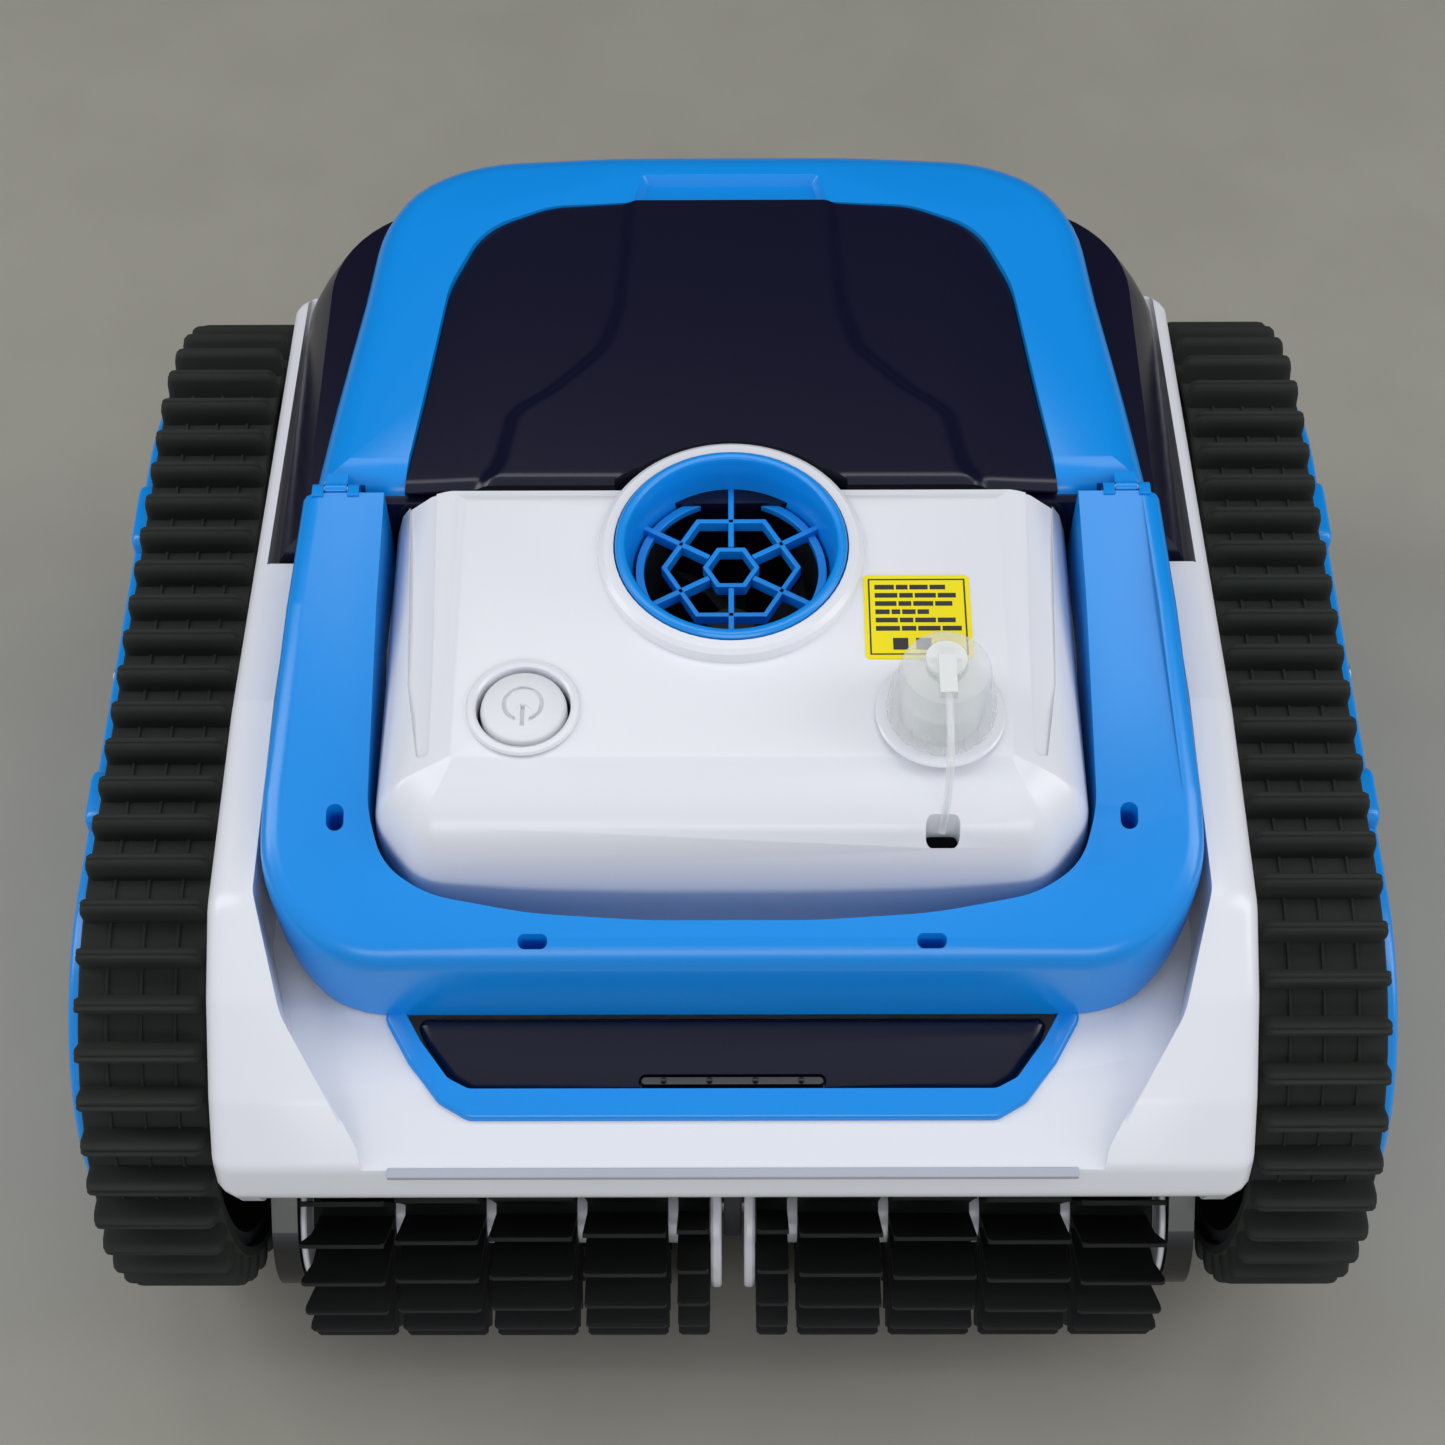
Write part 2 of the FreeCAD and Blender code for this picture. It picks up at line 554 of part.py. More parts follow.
def make_outlet():
    """Grille with six spokes and two six-sided rings, over a duct with the thrust impeller."""
    ring = tube("outlet_radius", "outlet_radius - 4", "outlet_top_z - duct_top_z",
                0, "outlet_y", "duct_top_z")
    ribs = [ring]
    reach = value("outlet_radius") - 3
    centre = Vector(0, value("outlet_y"), 0)
    for spoke in range(6):
        angle = 30 + 60 * spoke
        turn = Rotation(Vector(0, 0, 1), angle)
        start = centre + turn.multVec(Vector(6.5, -0.9, 0))
        rib = doc.addObject("Part::Box", "spoke")
        sizes(rib, Length=reach - 6.5, Width=1.8, Height=9)
        ribs.append(place(rib, start.x, start.y, "outlet_top_z - 10", turn=turn))
        for radius in (8, 21):
            corner = centre + turn.multVec(Vector(radius, 0, 0))
            along = Rotation(Vector(0, 0, 1), angle + 120)
            start = corner + along.multVec(Vector(0, -0.9, 0))
            side = doc.addObject("Part::Box", "ring_side")
            sizes(side, Length=radius, Width=1.8, Height=7.5)
            ribs.append(place(side, start.x, start.y, "outlet_top_z - 9", turn=along))
    piece(fuse(ribs), "outlet_grille")

    wall = "duct_radius - 4"
    barrel = cylinder("duct_radius", "duct_top_z - duct_bottom_z", 0, "outlet_y", "duct_bottom_z")
    collar = block((-26, 10, 116), (26, 47.6, 164))
    bore = cylinder(wall, "duct_top_z - duct_bottom_z - 3", 0, "outlet_y", "duct_bottom_z + 3")
    window = block((-22, 5, 120), (22, 50, 160))
    shaft_hole = cylinder(5, 10, 0, "outlet_y", "duct_bottom_z - 2")
    piece(cut(fuse([barrel, collar]), [bore, window, shaft_hole]), "outlet_duct")


def make_pump():
    can = cylinder("pump_radius", "duct_bottom_z - shell_bottom", 0, "outlet_y", "shell_bottom")
    room = cylinder("pump_radius - 3", 78, 0, "outlet_y", 31)
    hole = cylinder("3 + running_gap", 20, 0, "outlet_y", 100)
    piece(cut(can, [room, hole]), "pump_housing")
    motor = cylinder(25, 68, 0, "outlet_y", 31)
    motor_bore = cylinder("3 + running_gap", 40, 0, "outlet_y", 60)
    piece(cut(motor, [motor_bore]), "pump_motor")
    piece(cylinder(3, 130, 0, "outlet_y", 62), "impeller_shaft")

    hub = cylinder(9, 24, 0, "outlet_y", 176)
    blades = [hub]
    for number in range(4):
        turn = Rotation(Vector(0, 0, 1), 90 * number) * Rotation(Vector(1, 0, 0), 38)
        start = Vector(0, value("outlet_y"), 188) + turn.multVec(Vector(7, -11, -1))
        blade = doc.addObject("Part::Box", "blade")
        sizes(blade, Length="impeller_radius + 2 - 7", Width=22, Height=2)
        blades.append(place(blade, start.x, start.y, start.z, turn=turn))
    limit = cylinder("impeller_radius", 40, 0, "outlet_y", 170)
    trimmed = doc.addObject("Part::MultiCommon", "trimmed")
    trimmed.Shapes = [fuse(blades), limit]
    piece(cut(trimmed, [cylinder(3, 60, 0, "outlet_y", 132)]), "impeller")


def make_filter():
    """Lift-out basket: a frame of floor, walls and rim, with fine mesh in its windows."""
    outer = block((-84, 48, 52), (84, 140, 214))
    inner = block((-82, 50, 54), (82, 138, 220))
    windows = [block((side * 45 - 32, 44, 170), (side * 45 + 32, 144, 206)) for side in (1, -1)]
    windows += [block((-88, 56 + 42 * step, 150), (88, 90 + 42 * step, 206)) for step in (0, 1)]
    outlet = block((-22, 44, 120), (22, 52, 160))
    inlets = [block((side * 45 - 31, 56, 50), (side * 45 + 31, 88, 56)) for side in (1, -1)]
    piece(cut(outer, [inner, *windows, outlet, *inlets]), "filter_basket")
    panels = []
    for side in (1, -1):
        for y in (48.6, 138.6):
            panels.append(block((side * 45 - 32, y, 170), (side * 45 + 32, f"{y} + 0.8", 206)))
        x = 82.6 if side > 0 else -83.4
        for step in (0, 1):
            panels.append(block((x, 56 + 42 * step, 150), (f"{x} + 0.8", 90 + 42 * step, 206)))
    panels.append(block((-22, 48.6, 120), (22, 49.4, 160)))
    piece(fuse(panels), "filter_mesh")
    for name, side in SIDES.items():
        low, high = mirrored((16, 57, 46.6), (74, 88.5, 48.4), side)
        flap = block(low, high)
        pin = cylinder(1.6, 58, 16 if side > 0 else -74, 87.2, 48.3, "X")
        piece(fuse([flap, pin]), f"inlet_flap_{name}")


# Power, button and charging port

def make_power():
    case = block((-90, -86, 31), (90, -45, 112))
    room = block((-87.5, -83.5, 33.5), (87.5, -47.5, 109.5))
    piece(cut(case, [room]), "battery_case")
    pitch = "2*cell_radius + 0.5"
    cells = [cylinder("cell_radius", 70, f"({index} - (cell_count - 1)/2)*({pitch})", -65.5, 35)
             for index in range(int(value("cell_count")))]
    piece(fuse(cells), "battery_cells")
    board = block((-70, -84, 116), (70, -48, 117.6))
    parts = [board]
    for x, y, length, width, height in ((-40, -70, 16, 16, 3), (0, -66, 24, 12, 5),
                                        (38, -72, 18, 20, 8), (60, -58, 8, 8, 10)):
        parts.append(block((x, y, 117.6), (x + length, y + width, 117.6 + height)))
    for x in (-64, 64):
        parts.append(cylinder(3, 4, x, -66, 112))
    piece(fuse(parts), "control_board")


def make_button():
    cap = cylinder("button_radius", "button_top_z - 230", "button_x", "button_y", 230)
    rounded = doc.addObject("Part::Fillet", "rounded_cap")
    rounded.Base = cap
    doc.recompute()
    top = next(i for i, edge in enumerate(cap.Shape.Edges, start=1)
               if edge.Closed and edge.CenterOfMass.z > value("button_top_z") - 0.1)
    rounded.Edges = [(top, 2.5, 2.5)]
    piece(rounded, "power_button")
    piece(tube(10, 8.5, 7.5, "button_x", "button_y", 222.5), "button_boot")
    post = cylinder(6, "216 - deck_z", "button_x", "button_y", "deck_z")
    tray = cylinder(15, 2.5, "button_x", "button_y", 216)
    rim = tube(12, 8, 4, "button_x", "button_y", 218.5)
    switch = block(("button_x - 5", "button_y - 5", 218.5), ("button_x + 5", "button_y + 5", 224))
    plunger = cylinder(2.2, 3.2, "button_x", "button_y", 224)
    piece(fuse([post, tray, rim, switch, plunger]), "button_switch")


def make_charging_port():
    """Threaded neck with a socket, closed by a clear knurled cap that a strip ties to the cover."""
    piece(tube("port_radius", 9, 15.5, "port_x", "port_y", 235.5), "charge_port")
    socket = cylinder(8.9, 30, "port_x", "port_y", 218)
    well = tube(6.5, 2, 12, "port_x", "port_y", 238)
    piece(cut(socket, [well]), "charge_socket")
    piece(tube(19.4, "port_radius", 1.6, "port_x", "port_y", 238.85), "port_ring")

    height = "cap_top_z - cap_bottom_z"
    bell = cone("cap_radius", "cap_top_radius", height, "port_x", "port_y", "cap_bottom_z")
    neck_room = cylinder("port_radius + moving_gap", 13, "port_x", "port_y", "cap_bottom_z - 0.1")
    cup = cylinder("cap_top_radius - 2", 8, "port_x", "port_y", "cap_top_z - 5")
    grips = []
    for number in range(20):
        angle = math.radians(18 * number)
        grips.append(cylinder(1.1, 16, f"port_x + {17.0 * math.cos(angle):.3f}",
                              f"port_y + {17.0 * math.sin(angle):.3f}", "cap_bottom_z + 2"))
    piece(cut(bell, [neck_room, cup, *grips]), "charge_cap")

    plate = cylinder(6, 1.6, "port_x", "port_y + 2", "cap_top_z - 0.3")
    tail = block(("port_x - 2.5", "port_y - 11", "cap_top_z + 0.4"),
                 ("port_x + 2.5", "port_y + 2", "cap_top_z + 3.2"))
    stalk = cylinder(3, 4.6, "port_x", "port_y + 2", "cap_top_z - 4.8")
    piece(fuse([plate, tail, stalk]), "tether_plate")


TETHER_DIAMETER = 2.4
TETHER_ROUTE = [(-76, 265.8), (-85.5, 266.4), (-95, 260), (-98.6, 248), (-98, 236), (-96.5, 224)]


def make_tether():
    """Clear strip from the cap to the slot in the cover: straight runs joined by tangent arcs."""
    points = [Vector(value("port_x"), y, z) for y, z in TETHER_ROUTE]
    edges = []
    here = points[0]
    length = 0
    for before, at, after in zip(points, points[1:], points[2:]):
        inward = (at - before).normalize()
        outward = (after - at).normalize()
        half_turn = inward.getAngle(outward) / 2
        shorter = min(before.distanceToPoint(at), at.distanceToPoint(after))
        reach = 0.45 * shorter
        radius = reach / math.tan(half_turn)
        print(f"tether radius {radius:.1f}")
        start = at - inward * reach
        end = at + outward * reach
        to_centre = (outward - inward).normalize()
        middle = at + to_centre * (radius / math.cos(half_turn) - radius)
        edges.append(Part.LineSegment(here, start).toShape())
        edges.append(Part.Arc(start, middle, end).toShape())
        length += here.distanceToPoint(start) + 2 * half_turn * radius
        here = end
    edges.append(Part.LineSegment(here, points[-1]).toShape())
    length += here.distanceToPoint(points[-1])
    path = Part.Wire(edges)
    direction = points[1] - points[0]
    section = Part.Wire(Part.Circle(points[0], direction, TETHER_DIAMETER / 2).toShape())
    solid = path.makePipeShell([section], True, False)
    expected = math.pi * (TETHER_DIAMETER / 2) ** 2 * length
    if abs(solid.Volume / expected - 1) > 0.02:
        raise RuntimeError("the tether's volume isn't its section times its length")
    item = doc.addObject("Part::Feature", "tether")
    item.Shape = solid
    piece(item, "cap_tether")


def make_label():
    """Blank yellow notice label on the cover, between the outlet and the port."""
    label = new_body("notice_label")
    sheet_outline = [(40.5, -45.3), (73, -45.3), (73, -15), (40.5, -15)]
    pad(label, "XY_Plane", [sheet_outline], 4, "cover_rear_z - 4")
    under = [(-60, 230), (0, 230), (0, "cover_rear_z - split_y*0.0411 + 0.03"),
             (-60, "cover_rear_z - (split_y + 60)*0.0411 + 0.03")]
    pocket(label, "YZ_Plane", [under], 300, both_ways=True)
    over = [(-60, "cover_rear_z - (split_y + 60)*0.0411 + 0.35"),
            (0, "cover_rear_z - split_y*0.0411 + 0.35"), (0, 260), (-60, 260)]
    pocket(label, "YZ_Plane", [over], 300, both_ways=True)


# Running gear

def track_outline(half_pitch_shift):
    """Corner points of a belt with its cleats, and of its smooth inside, in the YZ plane."""
    front_y = value("wheel_front_y")
    rear_y = value("wheel_rear_y")
    axle_z = value("tip_radius")
    tip = value("tip_radius")
    base = tip - value("cleat_height")
    inside = base - value("belt_thick")
    run = rear_y - front_y
    total = 2 * run + 2 * math.pi * base
    count = int(value("cleat_count"))
    pitch = total / count

    def on_path(s, height):
        """The point at a height above the belt's outer face, s along it from below the front axle."""
        s %= total
        radius = base + height
        if s < run:
            return Vector(0, front_y + s, axle_z - radius)
        s -= run
        if s < math.pi * base:
            angle = s / base
            return Vector(0, rear_y + radius * math.sin(angle), axle_z - radius * math.cos(angle))
        s -= math.pi * base
        if s < run:
            return Vector(0, rear_y - s, axle_z + radius)
        angle = (s - run) / base
        return Vector(0, front_y - radius * math.sin(angle), axle_z + radius * math.cos(angle))

    outer = []
    root = value("cleat_root") / 2
    crest = value("cleat_tip") / 2
    height = value("cleat_height")
    for number in range(count):
        centre = (number + 0.5 * half_pitch_shift) * pitch
        on_arc = on_path(centre, height) - on_path(centre, 0)
        stretch = base / (base + height) if abs(on_arc.y) > 0.01 else 1
        outer.append(on_path(centre - root, 0))
        outer.append(on_path(centre - crest * stretch, height))
        outer.append(on_path(centre + crest * stretch, height))
        outer.append(on_path(centre + root, 0))
        outer.append(on_path(centre + pitch / 2, 0))
    return outer, inside


def make_belts():
    for name, side in SIDES.items():
        outer, inside = track_outline(0 if side > 0 else 1)
        front = Vector(0, value("wheel_front_y"), value("tip_radius"))
        rear = Vector(0, value("wheel_rear_y"), value("tip_radius"))
        up = Vector(0, 0, inside)
        forward = Vector(0, -inside, 0)
        hole = Part.Wire([
            Part.LineSegment(front - up, rear - up).toShape(),
            Part.Arc(rear - up, rear - forward, rear + up).toShape(),
            Part.LineSegment(rear + up, front + up).toShape(),
            Part.Arc(front + up, front + forward, front - up).toShape(),
        ])
        face = Part.makeFace([Part.makePolygon(outer + outer[:1]), hole], "Part::FaceMakerBullseye")
        width = value("belt_outer_x") - value("belt_inner_x")
        item = doc.addObject("Part::Feature", f"belt_{name}")
        item.Shape = face.extrude(Vector(width, 0, 0))
        start = "belt_inner_x" if side > 0 else "-belt_outer_x"
        piece(place(item, start), f"track_belt_{name}")


def make_wheel(label, side, axle_y, bore):
    """Wheel turned about its axle, with a rim, a thin web and a hub."""
    body = new_body(label)
    rim = "tip_radius - cleat_height - belt_thick - 0.4"
    section = [
        (f"{side}*162", bore), (f"{side}*199.5", bore), (f"{side}*199.5", "hub_radius"),
        (f"{side}*184", "hub_radius + 2"), (f"{side}*183", f"{rim} - rim_depth"),
        (f"{side}*198", f"{rim} - rim_depth + 3"), (f"{side}*198", rim), (f"{side}*163", rim),
        (f"{side}*163", f"{rim} - rim_depth + 3"), (f"{side}*178", f"{rim} - rim_depth"),
        (f"{side}*177", "hub_radius + 2"), (f"{side}*162", "hub_radius"),
    ]
    turned = body.newObject("PartDesign::Revolution", f"{label}_turned")
    turned.Profile = outline(body, "XZ_Plane", [section])
    turned.ReferenceAxis = (turned.Profile[0], ["H_Axis"])
    turned.Angle = 360
    doc.recompute()
    place(body, 0, axle_y, "tip_radius")


def gear_outline(teeth, module, phase):
    """Straight-flanked teeth, narrower than their gaps, with a tooth at the phase angle."""
    pitch_radius = module * teeth / 2
    step = 2 * math.pi / teeth
    points = []
    for number in range(teeth):
        centre = phase + number * step
        for radius, share in ((pitch_radius - 1.25 * module, -0.27),
                              (pitch_radius + 0.85 * module, -0.11),
                              (pitch_radius + 0.85 * module, 0.11),
                              (pitch_radius - 1.25 * module, 0.27)):
            angle = centre + share * step
            points.append(Vector(0, radius * math.cos(angle), radius * math.sin(angle)))
    return Part.Face(Part.makePolygon(points + points[:1]))


def make_gears_and_cases():
    """Three spur gears that turn a brush from the front wheel, in a flat case on each side."""
    wheel = Vector(0, value("wheel_front_y"), value("tip_radius"))
    brush = Vector(0, value("brush_y"), value("brush_z"))
    line = brush - wheel
    teeth = {name: int(value(name)) for name in ("wheel_teeth", "middle_teeth", "brush_teeth")}
    module = 2 * line.Length / (teeth["wheel_teeth"] + 2 * teeth["middle_teeth"]
                                + teeth["brush_teeth"])
    to_middle = module * (teeth["wheel_teeth"] + teeth["middle_teeth"]) / 2
    middle = wheel + line.normalize() * to_middle
    direction = math.atan2(line.z, line.y)
    thick = value("gear_outer_x") - value("gear_inner_x")
    axle = "axle_radius + running_gap"
    gap_phase = math.pi / teeth["middle_teeth"]
    cases = []
    for name, side in SIDES.items():
        start = "gear_inner_x" if side > 0 else "-gear_outer_x"

        def gear(centre, count, phase):
            item = doc.addObject("Part::Feature", "gear")
            item.Shape = gear_outline(count, module, phase).extrude(Vector(thick, 0, 0))
            return place(item, start, centre.y, centre.z)

        sleeve_start = "gear_outer_x" if side > 0 else -162
        sleeve = cylinder(9, "162 - gear_outer_x", sleeve_start, wheel.y, wheel.z, "X")
        hub = fuse([gear(wheel, teeth["wheel_teeth"], direction), sleeve])
        bore = cylinder(axle, 400, -200, wheel.y, wheel.z, "X")
        piece(cut(hub, [bore]), f"hub_gear_{name}")

        idler = gear(middle, teeth["middle_teeth"], direction + math.pi + gap_phase)
        pin_room = cylinder("3 + running_gap", 400, -200, middle.y, middle.z, "X")
        piece(cut(idler, [pin_room]), f"middle_gear_{name}")

        boss_start = 144 if side > 0 else "-gear_inner_x"
        boss = cylinder(8, "gear_inner_x - 144", boss_start, brush.y, brush.z, "X")
        pinion = fuse([gear(brush, teeth["brush_teeth"], direction + math.pi), boss])
        rod_room = cylinder("rod_radius + running_gap", 400, -200, brush.y, brush.z, "X")
        make_brush(name, side, pinion, rod_room)

        outer_start, inner_start = (146.2, 147.6) if side > 0 else (-154.8, -154.8)
        shells = []
        for radius, x, depth in (("case_radius", outer_start, 8.6),
                                 ("case_radius - 2", inner_start, 7.2)):
            ends = [cylinder(radius, depth, x, at.y, at.z, "X") for at in (wheel, brush)]
            angle = math.degrees(direction)
            turn = Rotation(Vector(1, 0, 0), angle)
            corner = wheel + turn.multVec(Vector(0, 0, -value(radius)))
            bar = doc.addObject("Part::Box", "case_bar")
            sizes(bar, Length=depth, Width=wheel.distanceToPoint(brush), Height=f"2*({radius})")
            ends.append(place(bar, x, corner.y, corner.z, turn=turn))
            shells.append(fuse(ends))
        boss_hole = cylinder(8.6, 400, -200, brush.y, brush.z, "X")
        axle_hole = cylinder("axle_radius", 400, -200, wheel.y, wheel.z, "X")
        shell = cut(shells[0], [shells[1], boss_hole, axle_hole])
        pin_start = 147.6 if side > 0 else -154.8
        cases.append(fuse([shell, cylinder(3, 7.2, pin_start, middle.y, middle.z, "X")]))
    piece(fuse(cases), "gear_cases")


def make_brush(name, side, pinion, rod_room):
    """Brush tube with its drive pinion, and the sleeve of soft fins round it."""
    length = "brush_outer_x - brush_inner_x"
    start = "brush_inner_x" if side > 0 else "-brush_outer_x"
    core = cylinder("core_radius", length, start, "brush_y", "brush_z", "X")
    discs = [core, pinion]
    for inner, depth, radius in ((3.8, 3.7, 29), (143.5, 2.2, 26)):
        x = inner if side > 0 else -(inner + depth)
        discs.append(cylinder(radius, depth, x, "brush_y", "brush_z", "X"))
    piece(cut(fuse(discs), [rod_room]), f"brush_core_{name}")

    body = new_body(f"brush_fins_{name}")
    ring = [(0, 0, "core_radius + 2"), (0, 0, "core_radius")]
    offset = "brush_inner_x + 0.2" if side > 0 else "-(brush_outer_x - 0.2)"
    pad(body, "YZ_Plane", ring, f"{length} - 0.4", offset)
    columns = [(8, 18.5), (22, 49.5), (53, 80.5), (84, 111.5), (115, 142.8)]
    for number, (low, high) in enumerate(columns):
        blade = [("-fin_thick/2", "core_radius + 1"), ("fin_thick/2", "core_radius + 1"),
                 ("fin_thick/2", "fin_radius - 0.1"), ("-fin_thick/2", "fin_radius - 0.1")]
        x = low if side > 0 else -high
        fin = pad(body, "YZ_Plane", [blade], high - low, x)
        turn = value("fin_twist") * number
        fin.Profile[0].AttachmentOffset.Rotation = Rotation(Vector(0, 0, 1), turn)
        polar(body, fin, "X_Axis", "fin_count")
    place(body, 0, "brush_y", "brush_z")


def make_brush_mount():
    """Centre bracket and the steel rod that both brushes turn on."""
    arm = block((-3, -152, 36), (3, -131, 96))
    foot = block((-3, -131, 60), (3, "bay_rear_y", 84))
    rod_hole = cylinder("rod_radius", 40, -20, "brush_y", "brush_z", "X")
    piece(cut(fuse([arm, foot]), [rod_hole]), "brush_bracket")
    piece(cylinder("rod_radius", 306, -153, "brush_y", "brush_z", "X"), "brush_rod")


def make_drive():
    """Rear gearmotors with their shafts, and the fixed front axles."""
    motors = []
    for name, side in SIDES.items():
        barrel_start = 97 if side > 0 else -133
        barrel = cylinder("motor_radius", 36, barrel_start, "wheel_rear_y", "tip_radius", "X")
        box_start = 133 if side > 0 else -154.9
        gearbox = cylinder(24, 21.9, box_start, "wheel_rear_y", "tip_radius", "X")
        bore = cylinder("axle_radius + running_gap", 22, 140 if side > 0 else -162,
                        "wheel_rear_y", "tip_radius", "X")
        motors.append(cut(fuse([barrel, gearbox]), [bore]))
        shaft_start = 141 if side > 0 else -201.5
        shaft = cylinder("axle_radius", 60.5, shaft_start, "wheel_rear_y", "tip_radius", "X")
        piece(shaft, f"drive_shaft_{name}")
        make_wheel(f"drive_wheel_{name}", side, "wheel_rear_y", "axle_radius")
        make_wheel(f"front_wheel_{name}", side, "wheel_front_y", "axle_radius + running_gap")
    piece(fuse(motors), "drive_motors")
    axles = [cylinder("axle_radius", "panel_inner_x - 144", 144 if side > 0 else "-panel_inner_x",
                      "wheel_front_y", "tip_radius", "X") for side in SIDES.values()]
    piece(fuse(axles), "front_axles")


def make_side_panels():
    """Blue panels outside the wheels, on posts that pass between the wheels."""
    screws = []
    for name, side in SIDES.items():
        inner = "panel_inner_x" if side > 0 else "-panel_outer_x"
        depth = "panel_outer_x - panel_inner_x"
        shapes = [cylinder("panel_radius", depth, inner, y, "tip_radius", "X")
                  for y in ("wheel_front_y", "wheel_rear_y")]
        low, high = mirrored(("panel_inner_x", "wheel_front_y", "tip_radius - panel_radius"),
                             ("panel_outer_x", "wheel_rear_y", "tip_radius + panel_radius"), side)
        shapes.append(block(low, high))
        for low_y, high_y in ((-66, -40), (46, 78)):
            low, high = mirrored(("panel_inner_x", low_y, 160), ("panel_outer_x", high_y, 175), side)
            shapes.append(block(low, high))
        post_start = "shell_half" if side > 0 else "-panel_inner_x"
        for z in (34, 160):
            shapes.append(cylinder(7, "panel_inner_x - shell_half", post_start, 1.25, z, "X"))
        piece(fuse(shapes), f"side_panel_{name}")
        head_start = "panel_outer_x" if side > 0 else "-panel_outer_x - 1"
        for y, z in ((1.25, 34), (1.25, 160), ("wheel_front_y", "tip_radius")):
            screws.append(cylinder(4, 1, head_start, y, z, "X"))
    for x in (-130, 130):
        for y in (-76, 0, 76, 140):
            screws.append(cylinder(3.5, 2, x, y, "shell_bottom - 6"))
    piece(fuse(screws), "case_screws")


def check_and_write():
    doc.recompute()
    for item in doc.Objects:
        if "Invalid" in item.State or "Error" in item.State:
            raise RuntimeError(f"{item.Label} failed: {item.State}")
    labels = [item.Label for item in pieces]
    if len(set(labels)) != len(labels) or len(labels) > 60:
        raise RuntimeError(f"{len(labels)} pieces, or two with one label")
    for item in pieces:
        if item.Shape.isNull() or not item.Shape.isValid() or not item.Shape.Solids:
            raise RuntimeError(f"{item.Label} has no valid solid")
    os.makedirs("parts", exist_ok=True)
    for item in pieces:
        item.Shape.exportStep(os.path.join("parts", f"{item.Label}.step"))
    print(len(pieces), "pieces written")


make_base_plate()
make_body_shell()
make_rear_housing()
make_chamber_seal()
make_top_cover()
make_carry_handle()
make_front_panel()
make_lid()
make_outlet()
make_pump()
make_filter()
make_power()
make_button()
make_charging_port()
make_tether()
make_label()
make_belts()
make_gears_and_cases()
make_brush_mount()
make_drive()
make_side_panels()
check_and_write()
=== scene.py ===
"""Detailed visual model of a cordless tracked pool cleaner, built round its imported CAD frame.

The making functions work in millimetres, in the frame's own axes: +X across the tracks, -Y towards
the brushes, +Z up. close_piece() turns a finished shape into metres and hands it to its body.
"""
import json
import math

import bmesh
import bpy
from bpy.props import FloatProperty, FloatVectorProperty, IntProperty, PointerProperty
from bpy.types import Operator, Panel, PropertyGroup
from mathutils import Matrix, Vector

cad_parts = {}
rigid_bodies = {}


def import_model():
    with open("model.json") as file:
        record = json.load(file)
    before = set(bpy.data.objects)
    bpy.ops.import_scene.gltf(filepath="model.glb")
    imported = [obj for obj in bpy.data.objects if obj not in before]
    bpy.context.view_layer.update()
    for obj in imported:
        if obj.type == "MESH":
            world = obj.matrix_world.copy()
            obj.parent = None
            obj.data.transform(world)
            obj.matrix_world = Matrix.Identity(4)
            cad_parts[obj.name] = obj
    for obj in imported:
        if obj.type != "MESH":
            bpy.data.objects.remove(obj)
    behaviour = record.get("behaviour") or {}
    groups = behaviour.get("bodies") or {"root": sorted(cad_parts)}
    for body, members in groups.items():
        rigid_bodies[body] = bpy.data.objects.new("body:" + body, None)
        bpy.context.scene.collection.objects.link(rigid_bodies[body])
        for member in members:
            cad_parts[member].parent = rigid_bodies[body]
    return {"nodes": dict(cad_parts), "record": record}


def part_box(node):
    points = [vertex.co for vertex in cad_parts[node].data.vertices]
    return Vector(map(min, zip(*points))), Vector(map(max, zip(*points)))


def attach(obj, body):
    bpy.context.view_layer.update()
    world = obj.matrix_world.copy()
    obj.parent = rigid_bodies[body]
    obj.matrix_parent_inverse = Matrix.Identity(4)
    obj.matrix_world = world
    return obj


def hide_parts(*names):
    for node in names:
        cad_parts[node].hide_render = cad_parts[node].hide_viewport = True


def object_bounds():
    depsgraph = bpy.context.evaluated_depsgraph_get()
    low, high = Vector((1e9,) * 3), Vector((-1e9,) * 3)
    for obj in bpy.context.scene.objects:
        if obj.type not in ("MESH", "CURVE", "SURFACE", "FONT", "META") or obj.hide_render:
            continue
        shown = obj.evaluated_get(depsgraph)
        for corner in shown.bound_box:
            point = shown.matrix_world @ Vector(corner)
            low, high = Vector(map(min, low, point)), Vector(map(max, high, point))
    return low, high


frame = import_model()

bl_info = {
    "name": "Pool Cleaner",
    "version": (1, 0, 0),
    "blender": (4, 5, 0),
    "location": "View3D > Sidebar > Pool Cleaner",
    "description": "Builds the detailed pieces of a tracked pool cleaner around its CAD frame",
    "category": "Object",
}

MM = 0.001
CAD_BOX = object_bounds()
SIDES = (("right", 1), ("left", -1))
CORE = 0.001
OUTLET = (0, -5, 0)
BUTTON = (-62, -62, 0)
PORT = (62, -65, 0)
REAR_EDGE = 19.1


def box_mm(node):
    low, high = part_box(node)
    return low / MM, high / MM


# Settings of the sidebar

